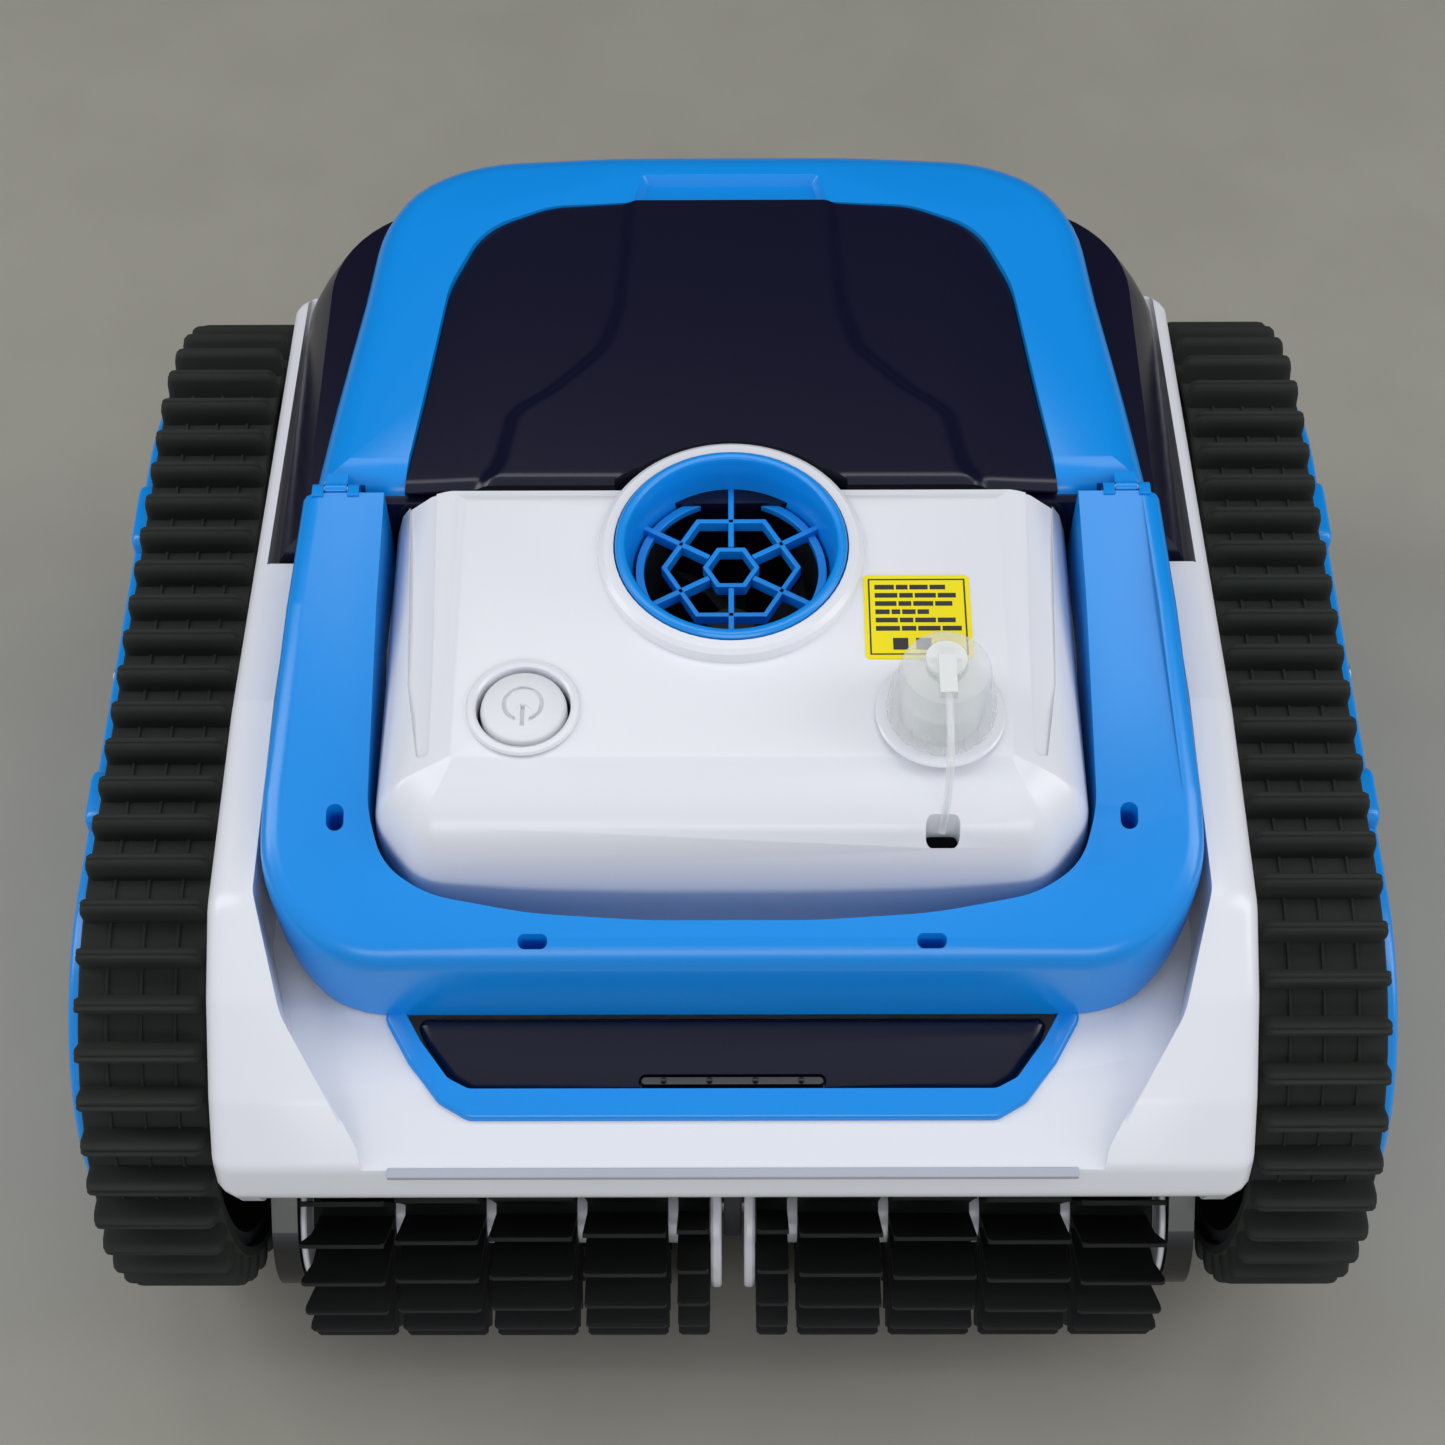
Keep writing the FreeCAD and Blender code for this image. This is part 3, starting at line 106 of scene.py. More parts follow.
class CleanerSizes(PropertyGroup):
    cleat_height: FloatProperty(
        name="Cleat height", description="Height of a cleat above the belt", default=0.009,
        unit="LENGTH")
    cleat_count: IntProperty(
        name="Cleats", description="Cleats on one belt", default=64, min=8)
    fin_count: IntProperty(
        name="Fins", description="Fins round one row of a brush", default=20, min=3)
    fin_thickness: FloatProperty(
        name="Fin thickness", description="Thickness of a brush fin at its root", default=0.0014,
        unit="LENGTH")
    handle_edge: FloatProperty(
        name="Handle edge", description="Rounding of the handle's upper outer edge",
        default=0.0045, unit="LENGTH")
    lid_edge: FloatProperty(
        name="Lid edge", description="Rounding of the lid's upper outer edge", default=0.007,
        unit="LENGTH")
    window_step: FloatProperty(
        name="Window step", description="Height of the raised middle of the lid's window",
        default=0.0018, unit="LENGTH")


def colour_setting(name, description, red, green, blue):
    return FloatVectorProperty(name=name, description=description, subtype="COLOR", size=3,
                               min=0, max=1, default=(red, green, blue))


class CleanerColours(PropertyGroup):
    shell: colour_setting("Shell", "White moulded shell", 0.62, 0.63, 0.70)
    blue: colour_setting("Blue", "Blue moulded trim", 0.0, 0.265, 0.62)
    navy: colour_setting("Navy", "Dark gloss panels", 0.0012, 0.0018, 0.011)
    rubber: colour_setting("Rubber", "Belts and brush fins", 0.0075, 0.0085, 0.0080)
    label: colour_setting("Label", "Notice label", 0.93, 0.78, 0.0)
    floor: colour_setting("Floor", "Studio floor", 0.33, 0.315, 0.27)


def sizes():
    return bpy.context.scene.cleaner_sizes


def colours():
    return bpy.context.scene.cleaner_colours


# Outlines

def outline(corners, inset=0.0, steps=6):
    """A closed plan loop through corners (x, y, radius), moved inwards by an inset."""
    points = [Vector(corner[:2]) for corner in corners]
    following = points[1:] + points[:1]
    area = sum(a.x * b.y - b.x * a.y for a, b in zip(points, following))
    inward = 1 if area > 0 else -1
    loop = []
    for i, (at, after_it) in enumerate(zip(points, following)):
        before = (at - points[i - 1]).normalized()
        after = (after_it - at).normalized()
        first_normal = Vector((-before.y, before.x)) * inward
        second_normal = Vector((-after.y, after.x)) * inward
        corner = at + (first_normal + second_normal) * (
            inset / (1 + first_normal.dot(second_normal)))
        radius = corners[i][2]
        if not radius:
            loop.append(corner)
            continue
        turn = math.atan2(before.x * after.y - before.y * after.x, before.dot(after))
        radius = max(radius - inset * math.copysign(1, turn) * inward, 0.05)
        start = corner - before * radius * math.tan(abs(turn) / 2)
        centre = start + Vector((-before.y, before.x)) * math.copysign(radius, turn)
        arm = start - centre
        for step in range(steps + 1):
            angle = turn * step / steps
            loop.append(centre + Matrix.Rotation(angle, 2) @ arm)
    return loop


def both_halves(corners):
    """A symmetric loop of corners from its right half."""
    return list(corners) + [(-x, y, radius) for x, y, radius in reversed(corners)]


def level(loop, height):
    """Plan points lifted to a height, which may be a function of x and y."""
    if callable(height):
        return [Vector((p.x, p.y, height(p.x, p.y))) for p in loop]
    return [Vector((p.x, p.y, height)) for p in loop]


def across(loop, x):
    """Points of a (y, z) profile placed at one x."""
    return [Vector((x, p[0], p[1])) for p in loop]


def smooth(value):
    value = min(max(value, 0.0), 1.0)
    return value * value * (3 - 2 * value)


def along(points, at):
    """The value at a place on a broken line of (place, value) points."""
    for (a, low), (b, high) in zip(points, points[1:]):
        if at <= b:
            return low + (high - low) * min(max((at - a) / (b - a), 0.0), 1.0)
    return points[-1][1]


# Mesh kit

def edge_ring(bm, points, closed=True):
    verts = [bm.verts.new(point) for point in points]
    ends = verts[1:] + verts[:1] if closed else verts[1:]
    return [bm.edges.new(pair) for pair in zip(verts, ends)]


def loft(rings, capped=True, round_trip=False, into=None):
    """Skins a row of equal rings, with its ends capped or joined to each other."""
    bm = into or bmesh.new()
    loops = [edge_ring(bm, ring) for ring in rings]
    for low, high in zip(loops, loops[1:] + (loops[:1] if round_trip else [])):
        bmesh.ops.bridge_loops(bm, edges=low + high)
    if capped and not round_trip:
        for end in (loops[0], loops[-1]):
            bmesh.ops.contextual_create(bm, geom=end)
    return bm


def prism(loop, low, high, axis="Z"):
    """A straight bar of one outline between two heights, or between two places along X."""
    place = level if axis == "Z" else across
    return loft([place(loop, low), place(loop, high)])


def box_shape(low, high):
    loop = outline([(low[0], low[1], 0), (high[0], low[1], 0), (high[0], high[1], 0),
                    (low[0], high[1], 0)])
    return prism(loop, low[2], high[2])


def spun(profile, centre, axis="Z", steps=48, ring=False):
    """Spins (radius, height) points about an axis through a centre, as a closed ring or open."""
    bm = bmesh.new()
    edges = edge_ring(bm, [Vector((radius, 0, height)) for radius, height in profile], ring)
    bmesh.ops.spin(bm, geom=list(bm.verts) + edges, cent=(0, 0, 0), axis=(0, 0, 1),
                   angle=2 * math.pi, steps=steps, use_merge=True)
    bmesh.ops.remove_doubles(bm, verts=bm.verts, dist=0.001)
    turn = Matrix.Rotation(math.radians(90), 4, "Y") if axis == "X" else Matrix.Identity(4)
    bmesh.ops.transform(bm, matrix=Matrix.Translation(centre) @ turn, verts=bm.verts)
    return bm


def joined(bm, *others):
    """Adds other shapes to a shape as separate shells."""
    for other in others:
        mesh = bpy.data.meshes.new("part")
        bmesh.ops.recalc_face_normals(other, faces=other.faces)
        other.to_mesh(mesh)
        other.free()
        bm.from_mesh(mesh)
        bpy.data.meshes.remove(mesh)
    return bm


def working_object(bm):
    bmesh.ops.remove_doubles(bm, verts=bm.verts, dist=0.002)
    bmesh.ops.recalc_face_normals(bm, faces=bm.faces)
    mesh = bpy.data.meshes.new("working")
    bm.to_mesh(mesh)
    bm.free()
    item = bpy.data.objects.new("working", mesh)
    bpy.context.scene.collection.objects.link(item)
    return item


def carved(base, cutters, operation="DIFFERENCE"):
    """The base with each cutter taken out of it, joined to it, or kept in common with it."""
    target = working_object(base)
    tools = [working_object(cutter) for cutter in cutters]
    for tool in tools:
        step = target.modifiers.new("carve", "BOOLEAN")
        step.operation = operation
        step.solver = "EXACT"
        step.object = tool
    graph = bpy.context.evaluated_depsgraph_get()
    mesh = bpy.data.meshes.new_from_object(target.evaluated_get(graph))
    bm = bmesh.new()
    bm.from_mesh(mesh)
    bpy.data.meshes.remove(mesh)
    for item in (target, *tools):
        data = item.data
        bpy.data.objects.remove(item)
        bpy.data.meshes.remove(data)
    if not bm.faces:
        raise RuntimeError("carving left nothing of a piece")
    bmesh.ops.remove_doubles(bm, verts=bm.verts, dist=0.01)
    bmesh.ops.dissolve_degenerate(bm, edges=bm.edges, dist=0.01)
    return bm


def copied(bm, matrix):
    other = bm.copy()
    bmesh.ops.transform(other, matrix=matrix, verts=other.verts)
    return other


def other_side(bm):
    """The shape mirrored to the left side."""
    return copied(bm, Matrix.Scale(-1, 4, (1, 0, 0)))


def relief(columns, rows, shape, floor):
    """A slab whose upper face is a grid moved by shape(u, v), with u and v from -1 to 1."""
    bm = bmesh.new()
    bmesh.ops.create_grid(bm, x_segments=columns, y_segments=rows, size=1)
    for vert in bm.verts:
        vert.co = shape(vert.co.x, vert.co.y)
    grown = bmesh.ops.extrude_face_region(bm, geom=list(bm.faces))
    for item in grown["geom"]:
        if isinstance(item, bmesh.types.BMVert):
            item.co.z = floor
    return bm


def close_piece(name, bm, body, finish, stands_for=(), bevel=0.0, bevel_steps=2, crease=35):
    """Makes a shape an object of the scene that rides on a body and takes a material slot."""
    bmesh.ops.remove_doubles(bm, verts=bm.verts, dist=0.004)
    bmesh.ops.recalc_face_normals(bm, faces=bm.faces)
    bmesh.ops.scale(bm, vec=(MM, MM, MM), verts=bm.verts)
    mesh = bpy.data.meshes.new(name)
    for face in bm.faces:
        face.smooth = True
    bm.to_mesh(mesh)
    bm.free()
    mesh.materials.append(bpy.data.materials[finish])
    item = bpy.data.objects.new(name, mesh)
    bpy.context.scene.collection.objects.link(item)
    if bevel:
        edges = item.modifiers.new("soft_edges", "BEVEL")
        edges.width = bevel * MM
        edges.segments = bevel_steps
        edges.limit_method = "ANGLE"
        edges.angle_limit = math.radians(crease)
        edges.harden_normals = True
    else:
        mesh.set_sharp_from_angle(angle=math.radians(crease))
    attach(item, body)
    if stands_for:
        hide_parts(*stands_for)
    return item


# Camera, stage and cord

CAMERA_PLACE = (0, -0.455, 0.835)
CAMERA_TURN = (math.radians(33), 0.0045, 0)
CAMERA_LENS = 59.8
LIGHT_AIM = Vector((0, 0, 0.1))
FLOOR_RADIUS = 6
TETHER_X = 0.062
TETHER_ROUTE = [(-0.076, 0.2658), (-0.0855, 0.2664), (-0.095, 0.260), (-0.0986, 0.248),
                (-0.098, 0.236), (-0.0965, 0.224)]
TETHER_DIAMETER = 0.0024


def add_light(name, place, size, power):
    data = bpy.data.lights.new(name, "AREA")
    data.shape = "RECTANGLE"
    data.size, data.size_y = size
    data.energy = power
    item = bpy.data.objects.new(name, data)
    item.location = place
    item.rotation_euler = (LIGHT_AIM - Vector(place)).to_track_quat("-Z", "Y").to_euler()
    bpy.context.scene.collection.objects.link(item)


def build_stage():
    scene = bpy.context.scene
    scene.view_settings.view_transform = "Standard"
    bm = bmesh.new()
    bmesh.ops.create_circle(bm, segments=96, radius=FLOOR_RADIUS, cap_ends=True)
    mesh = bpy.data.meshes.new("floor")
    bm.to_mesh(mesh)
    bm.free()
    mesh.materials.append(bpy.data.materials["studio_floor"])
    floor = bpy.data.objects.new("floor", mesh)
    scene.collection.objects.link(floor)
    add_light("overhead", (0.1, 0.5, 1.7), (1.5, 0.6), 7)
    add_light("left_bank", (-1.3, 0.1, 1.1), (0.6, 1.4), 9)
    add_light("right_bank", (1.4, -0.1, 1.0), (0.6, 1.4), 9)
    add_light("front_fill", (0.0, -1.7, 0.9), (1.6, 0.4), 7)
    world = bpy.data.worlds.new("studio")
    world.use_nodes = True
    background = world.node_tree.nodes["Background"]
    background.inputs["Color"].default_value = (0.82, 0.86, 0.93, 1)
    where = add_node(world.node_tree, "ShaderNodeTexCoord")
    split = add_node(world.node_tree, "ShaderNodeSeparateXYZ")
    wire(world.node_tree, where.outputs["Generated"], split.inputs["Vector"])
    wire(world.node_tree, remap(world.node_tree, split.outputs["Y"], -0.1, 0.55, 0.52, 0.04),
         background.inputs["Strength"])
    scene.world = world
    data = bpy.data.cameras.new("camera")
    data.lens = CAMERA_LENS
    camera = bpy.data.objects.new("camera", data)
    camera.location = CAMERA_PLACE
    camera.rotation_euler = CAMERA_TURN
    scene.collection.objects.link(camera)
    scene.camera = camera


def build_tether():
    curve = bpy.data.curves.new("cap_tether_cord", "CURVE")
    curve.dimensions = "3D"
    curve.bevel_depth = TETHER_DIAMETER / 2
    curve.bevel_resolution = 6
    curve.use_fill_caps = True
    spline = curve.splines.new("NURBS")
    spline.points.add(len(TETHER_ROUTE) - 1)
    for point, (y, z) in zip(spline.points, TETHER_ROUTE):
        point.co = (TETHER_X, y, z, 1)
    spline.order_u = 3
    spline.use_endpoint_u = True
    spline.resolution_u = 16
    curve.materials.append(bpy.data.materials["clear_plastic"])
    item = bpy.data.objects.new("cap_tether_cord", curve)
    bpy.context.scene.collection.objects.link(item)
    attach(item, "cap_carrier")
    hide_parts("cap_tether")


# Hull

FENCE_PROFILE = [(-92, 28), (-92, 88), (-110, 102), (-150, 110), (-174, 130), (-178, 144),
                 (-175, 157), (-160, 173), (-136, 192), (-110, 206), (-39, 208), (17, 203),
                 (146, 191), (165, 172), (168, 60), (152, 28)]


def build_hull():
    corners = [(y, z, {7: 22, 8: 26, 9: 18, 11: 60}.get(i, 9 if 3 < i < 14 else 3))
               for i, (y, z) in enumerate(FENCE_PROFILE)]
    rings = [across(outline(corners, inset, 7), side * x)
             for side, stops in ((-1, ((158, 7), (157.2, 4.2), (155, 1.8), (151.5, 0))),
                                 (1, ((151.5, 0), (155, 1.8), (157.2, 4.2), (158, 7))))
             for x, inset in stops]
    hull = loft(rings)
    deck_outline = [(143.5, 60, 0), (143.5, -106, 16), (134.7, -139, 18), (113.5, -171, 10),
                    (104, -190, 0)]
    deck = prism(outline(both_halves(deck_outline), 0, 6), 168, 260)
    deck_slope = prism([(-200, 148.5), (-186, 151), (-178, 155.5), (-165, 160), (-150, 165),
                        (-126, 168), (-110, 174), (-110, 260), (-200, 260)], -142.5, 142.5, "X")
    slope_plan = prism(outline(both_halves([(142.2, -100, 0), (134, -138.6, 12), (113, -170, 10),
                                            (104, -205, 0)])), 120, 262)
    slope = carved(deck_slope, [slope_plan], "INTERSECT")
    rear = prism(outline([(152.5, 18.1, 0), (152.5, 180, 0), (-152.5, 180, 0),
                          (-152.5, 18.1, 0)]), 186, 260)
    hollow = box_shape((-149, -84, 31), (149, 160, 164))
    nose_hollow = prism([(-84, 96), (-112, 108), (-146, 115), (-160, 134), (-166, 146),
                         (-160, 152), (-145, 160), (-126, 163), (-84, 163)], -140, 140, "X")
    chamber = box_shape((-90, 44, 150), (90, 145, 200))
    front_hole = prism(outline(both_halves([(101, -118, 0), (101, -128.5, 3), (88, -149.5, 5),
                                            (82, -154, 5)]), 0, 6), 140, 180)
    outlet = spun([(CORE, 140), (37.5, 140), (37.5, 260), (CORE, 260)], (0, 0, 0))
    axles = [spun([(CORE, -170), (10.5, -170), (10.5, 170), (CORE, 170)],
                  (0, y, z), "X", 32) for y, z in AXLES]
    under_nose = box_shape((-145, -190, 80), (145, -150, 140.5))
    gear_slots = [box_shape((min(side * 144, side * 157), -160, 20),
                            (max(side * 144, side * 157), -58, 122)) for _, side in SIDES]
    hull = carved(hull, [deck, slope, rear, hollow, nose_hollow, chamber, front_hole, outlet,
                         *axles, under_nose, *gear_slots])
    close_piece("hull", hull, "chassis", "white_shell", ["body_shell"], 0.9, 3, 32)
    # A grey strip across the nose just behind the front lip: its grey is painted shade, standing
    # in for the shaded tilted face of the step there.
    shade_band_plan = [Vector((x, y, 0)) for x, y in ((104, -177.4), (104, -174.2), (-104, -174.2),
                                          (-104, -177.4))]
    close_piece("nose_shade_band", prism(shade_band_plan, 155.0, 157.2), "chassis", "painted_shade_grey", bevel=0.4)


def build_deck_parts():
    panel = both_halves([(98.5, -128.5, 3), (94.2, -136.8, 6), (85.8, -148.0, 5),
                         (79.5, -151.2, 5)])
    rings = [level(outline(panel, 0.3), 153)]

    def panel_top(y):
        return 160.3 + 6.4 * smooth((y + 152) / 24) + 0.9 * math.sin((y + 152) / 24 * math.pi)
    for inset, drop in ((0.3, 2.0), (0.7, 1.0), (1.6, 0.25), (3.2, 0)):
        rings.append(level(outline(panel, inset),
                           lambda x, y, drop=drop: min(panel_top(y) - drop, 167.3)))
    panel_shape = loft(rings)
    slot = prism(outline([(28.6, -150, 2), (28.6, -146, 2), (-28.6, -146, 2), (-28.6, -150, 2)],
                         0, 4), 158, 172)
    panel_shape = carved(panel_shape, [slot])
    close_piece("front_plate", panel_shape, "chassis", "navy_gloss", ["front_panel"], 0.25)
    trim = both_halves([(110, -124.6, 5), (98.5, -144.5, 9), (89, -156.2, 7), (80, -161, 6)])
    hole = both_halves([(99.9, -100, 0), (99.9, -129, 3), (95, -137.6, 6), (86.4, -149, 5),
                        (80, -152.3, 5)])

    def trim_top(_, y):
        return along([(-162, 163.6), (-150, 167.2), (-126, 169.6)], y)
    rings = [level(outline(trim, 0), 160),
             level(outline(trim, 0), lambda x, y: trim_top(x, y) - 1),
             level(outline(trim, 0.5), lambda x, y: trim_top(x, y) - 0.3),
             level(outline(trim, 1.4), trim_top)]
    band = carved(loft(rings), [prism(outline(hole), 140, 190)])
    close_piece("front_band", band, "chassis", "blue_plastic", ["front_trim"], 0.35)
    lens_plan = outline([(27.8, -149.3, 1.3), (27.8, -146.7, 1.3), (-27.8, -146.7, 1.3),
                         (-27.8, -149.3, 1.3)], 0, 4)
    lens = prism(lens_plan, 158.5, 161.8)
    for x in (-21, -7, 7, 21):
        joined(lens, spun([(CORE, 160), (1.1, 160), (0.9, 162.6), (CORE, 163)],
                          (x, -148, 0), steps=16))
    close_piece("light_lens", lens, "chassis", "black_gloss", ["light_bar"], 0.2)


# Top cover

def cover_slope(_, y):
    return 241.5 - (REAR_EDGE - y) * 0.0411


COVER_SIDE = [(0.6, 207), (1.5, 216), (4, 224.5), (8, 231), (13, 234.9), (19, 237.2),
              (23.4, 238.2), (25.2, 239.3)]


def build_top_cover():
    plan = both_halves([(109, 40, 0), (109, -88, 14), (94, -105, 16)])
    rings = [level(outline(plan, 0, 8), 168.6), level(outline(plan, 0.2, 8), 190)]
    for inset, height in COVER_SIDE:
        rings.append(level(outline(plan, inset, 8),
                           lambda x, y, height=height: height - 239.5 + cover_slope(x, y)))
    rings.append(level(outline(plan, 26.4, 8), cover_slope))
    cover = loft(rings)
    bmesh.ops.bisect_plane(cover, geom=list(cover.verts) + list(cover.edges) + list(cover.faces),
                           plane_co=(0, REAR_EDGE, 0), plane_no=(0, 1, 0), clear_outer=True)
    bmesh.ops.holes_fill(cover, edges=[e for e in cover.edges if e.is_boundary])
    tongue = spun([(CORE, 223), (41.5, 223), (41.5, 240.5), (40.9, 242.2), (39.4, 243.3),
                   (36.5, 243.5), (CORE, 243.5)], OUTLET, steps=80)
    cover = carved(cover, [tongue], "UNION")
    well = spun([(CORE, 200), (36.4, 200), (36.4, 260), (CORE, 260)], OUTLET, steps=72)
    inside = prism(outline(plan, 5.0, 8), 150, 217)
    button = spun([(CORE, 200), (15.0, 200), (15.0, 260), (CORE, 260)], BUTTON)
    port = spun([(CORE, 200), (12.6, 200), (12.6, 260), (CORE, 260)], PORT)
    tether = prism(outline([(67, -94.5, 2), (67, -101, 2), (57, -101, 2), (57, -94.5, 2)], 0, 4),
                   200, 260)
    grooves = []
    for _, side in SIDES:
        finger = [(side * 103.5, 40, 0), (side * 98, -50, 0), (side * 93.4, -77, 1.3),
                  (side * 89.6, -77, 1.3), (side * 90.2, -50, 0), (side * 94, 40, 0)]
        finger = outline(finger, 0, 5)
        floor = level(finger, lambda x, y: along(COVER_SIDE, 109 - abs(x)) - 240.2
                      + cover_slope(x, y))
        grooves.append(loft([floor, level(finger, 260)]))
    cover = carved(cover, [inside, well, button, port, tether])
    cover = carved(cover, grooves)
    close_piece("cover", cover, "chassis", "white_shell", ["top_cover"], 0.5, 3, 32)


def build_grille():
    ring = spun([(30.8, 226), (34.4, 226), (36.0, 241.2), (36.0, 243.9), (35.3, 244.8),
                 (34.2, 245.0), (33.0, 244.6), (32.4, 243.4), (31.8, 236)], OUTLET,
                steps=80, ring=True)
    joined(ring, spun([(27.4, 227), (30.0, 227), (30.0, 229.6), (27.4, 229.6)], OUTLET,
                      steps=64, ring=True))
    for count in range(6):
        angle = math.radians(30 + 60 * count)
        rib = box_shape((8, -0.9, 227), (32.2, 0.9, 231.4))
        bmesh.ops.transform(rib, matrix=Matrix.Translation(OUTLET)
                            @ Matrix.Rotation(angle, 4, "Z"), verts=rib.verts)
        joined(ring, rib)
    for radius in (8, 21):
        joined(ring, spun([(radius - 0.9, 227), (radius + 0.9, 227), (radius + 0.9, 231.4),
                           (radius - 0.9, 231.4)], OUTLET, steps=6, ring=True))
    close_piece("grille", ring, "chassis", "blue_plastic", ["outlet_grille"], 0.25)


def build_impeller():
    low, high = box_mm("impeller")
    centre = (low + high) / 2
    radius = (high.x - low.x) / 2
    wheel = spun([(CORE, low.z), (9, low.z), (9, high.z - 3), (7.5, high.z - 0.8),
                  (4, high.z), (CORE, high.z)], (centre.x, centre.y, 0), steps=40)
    for count in range(4):
        rows = []
        for step in range(9):
            reach = 7 + (radius - 7.2) * step / 8
            bend = 0.30 * step / 8
            spread = 0.46 - 0.06 * step / 8
            ring = []
            for turn, height in ((bend - spread, low.z + 2.2), (bend + spread, high.z - 3.2),
                                 (bend + spread, high.z - 1.4), (bend - spread, low.z + 4.0)):
                ring.append(Vector((reach * math.cos(turn), reach * math.sin(turn), height)))
            rows.append(ring)
        blade = loft(rows)
        bmesh.ops.transform(blade, matrix=Matrix.Translation((centre.x, centre.y, 0))
                            @ Matrix.Rotation(math.radians(90 * count), 4, "Z"),
                            verts=blade.verts)
        joined(wheel, blade)
    close_piece("impeller_wheel", wheel, "impeller", "dark_plastic", ["impeller"], 0.3)


# Power button and charging port

def build_button():
    dome = spun([(CORE, 230), (12.4, 230), (13.0, 230.6), (13.0, 236.6), (12.6, 238.0),
                 (11.4, 239.1), (8.5, 240.1), (4.5, 240.6), (CORE, 240.8)], BUTTON, steps=64)
    cutter = spun([(5.0, 239.3), (6.3, 239.3), (6.3, 246), (5.0, 246)], BUTTON, steps=48,
                  ring=True)
    gap = box_shape((BUTTON[0] - 2, -72, 238), (BUTTON[0] + 2, -63, 248))
    cutter = carved(cutter, [gap])
    bar = box_shape((-62.65, -69.6, 239.3), (-61.35, -62.6, 246))
    dome = carved(dome, [cutter, bar])
    close_piece("button", dome, "power_button", "white_button", ["power_button"], 0.2)
    rim = spun([(14.0, 233.5), (15.0, 233.5), (15.0, 237.8), (16.8, 237.8), (17.2, 238.6),
                (16.6, 239.5), (15.0, 239.7), (14.2, 239.0)], BUTTON, steps=64, ring=True)
    close_piece("button_rim", rim, "chassis", "white_shell", bevel=0.15)


GRIPS = 20
GRIP_CIRCLE = 16.5


def build_port():
    neck = spun([(CORE, 235.5), (12, 235.5), (12, 249.6), (11.2, 251), (CORE, 251)], PORT)
    close_piece("port_neck", neck, "chassis", "frosted_plastic", ["charge_port"], 0.2)
    ring = spun([(12.2, 238.85), (18.6, 238.85), (19.3, 239.3), (19.4, 239.9), (18.8, 240.4),
                 (12.2, 240.45)], PORT, steps=64, ring=True)
    close_piece("port_collar", ring, "chassis", "white_shell", ["port_ring"], 0.15)
    low, high = box_mm("charge_cap")
    cap = spun([(CORE, high.z - 4.4), (4.6, high.z - 4.4), (5.2, high.z - 0.8),
                (6.2, high.z), (11.2, high.z), (12.6, high.z - 0.6), (13.2, high.z - 1.8),
                (13.9, high.z - 6.0), (15.9, low.z + 8), (16.3, low.z + 1.2), (15.9, low.z),
                (12.8, low.z), (12.8, low.z + 11.6), (CORE, low.z + 11.6)], PORT, steps=120)
    grips = []
    for count in range(GRIPS):
        angle = math.radians(360 / GRIPS * count)
        grips.append(spun([(CORE, low.z - 1), (1.15, low.z - 1), (1.15, low.z + 14),
                           (0.5, low.z + 16), (CORE, low.z + 16)],
                          (PORT[0] + GRIP_CIRCLE * math.cos(angle),
                           PORT[1] + GRIP_CIRCLE * math.sin(angle), 0),
                          steps=12))
    cap = carved(cap, grips)
    close_piece("port_cap", cap, "charge_cap", "clear_plastic", ["charge_cap"], 0.3)


INK = (0.3, 0.36)


def build_label():
    low, high = box_mm("notice_label")

    def sheet(left, front, right, back, floor, top, radius=0.0, into=None):
        plan = outline([(right, front, radius), (right, back, radius), (left, back, radius),
                        (left, front, radius)], 0, 4)
        return loft([level(plan, lambda x, y: cover_slope(x, y) + floor),
                     level(plan, lambda x, y: cover_slope(x, y) + top)], into=into)
    film = sheet(low.x, low.y, high.x, high.y, 0.02, 0.32, 1.5)
    close_piece("label_film", film, "chassis", "yellow_label", ["notice_label"])
    marks = bmesh.new()
    left, right, front, back = low.x + 1.4, high.x - 1.4, low.y + 1.4, high.y - 1.4
    for edges in ((left, front, left + 0.5, back), (right - 0.5, front, right, back),
                  (left, front, right, front + 0.5), (left, back - 0.5, right, back)):
        sheet(*edges, *INK, into=marks)
    for row, share in enumerate((0.82, 0.95, 0.9, 0.6, 0.93, 1.0)):
        top = back - 2.2 - row * 3.0
        start = left + 2
        for word in (0.30, 0.18, 0.28, 0.24):
            end = start + (right - left - 5.5) * share * word
            sheet(start, top - 1.7, end, top, *INK, into=marks)
            start = end + 0.6
    for start in (7.0, 14.0):
        sheet(left + start, front + 1.8, left + start + 4.6, front + 6.0, *INK, into=marks)
    close_piece("label_marks", marks, "chassis", "label_ink")


# Handle, rear housing and lid

HANDLE_BAR = -117.3


def handle_top(y):
    back = REAR_EDGE - y
    return 239.5 - 0.10157 * back - 0.0009386 * back * back


def handle_foot(y):
    return along([(-129, 168.4), (-124, 169), (-100, 196), (-60, 206.8), (-39, 208.6),
                  (17, 203.8), (20, 203)], y)


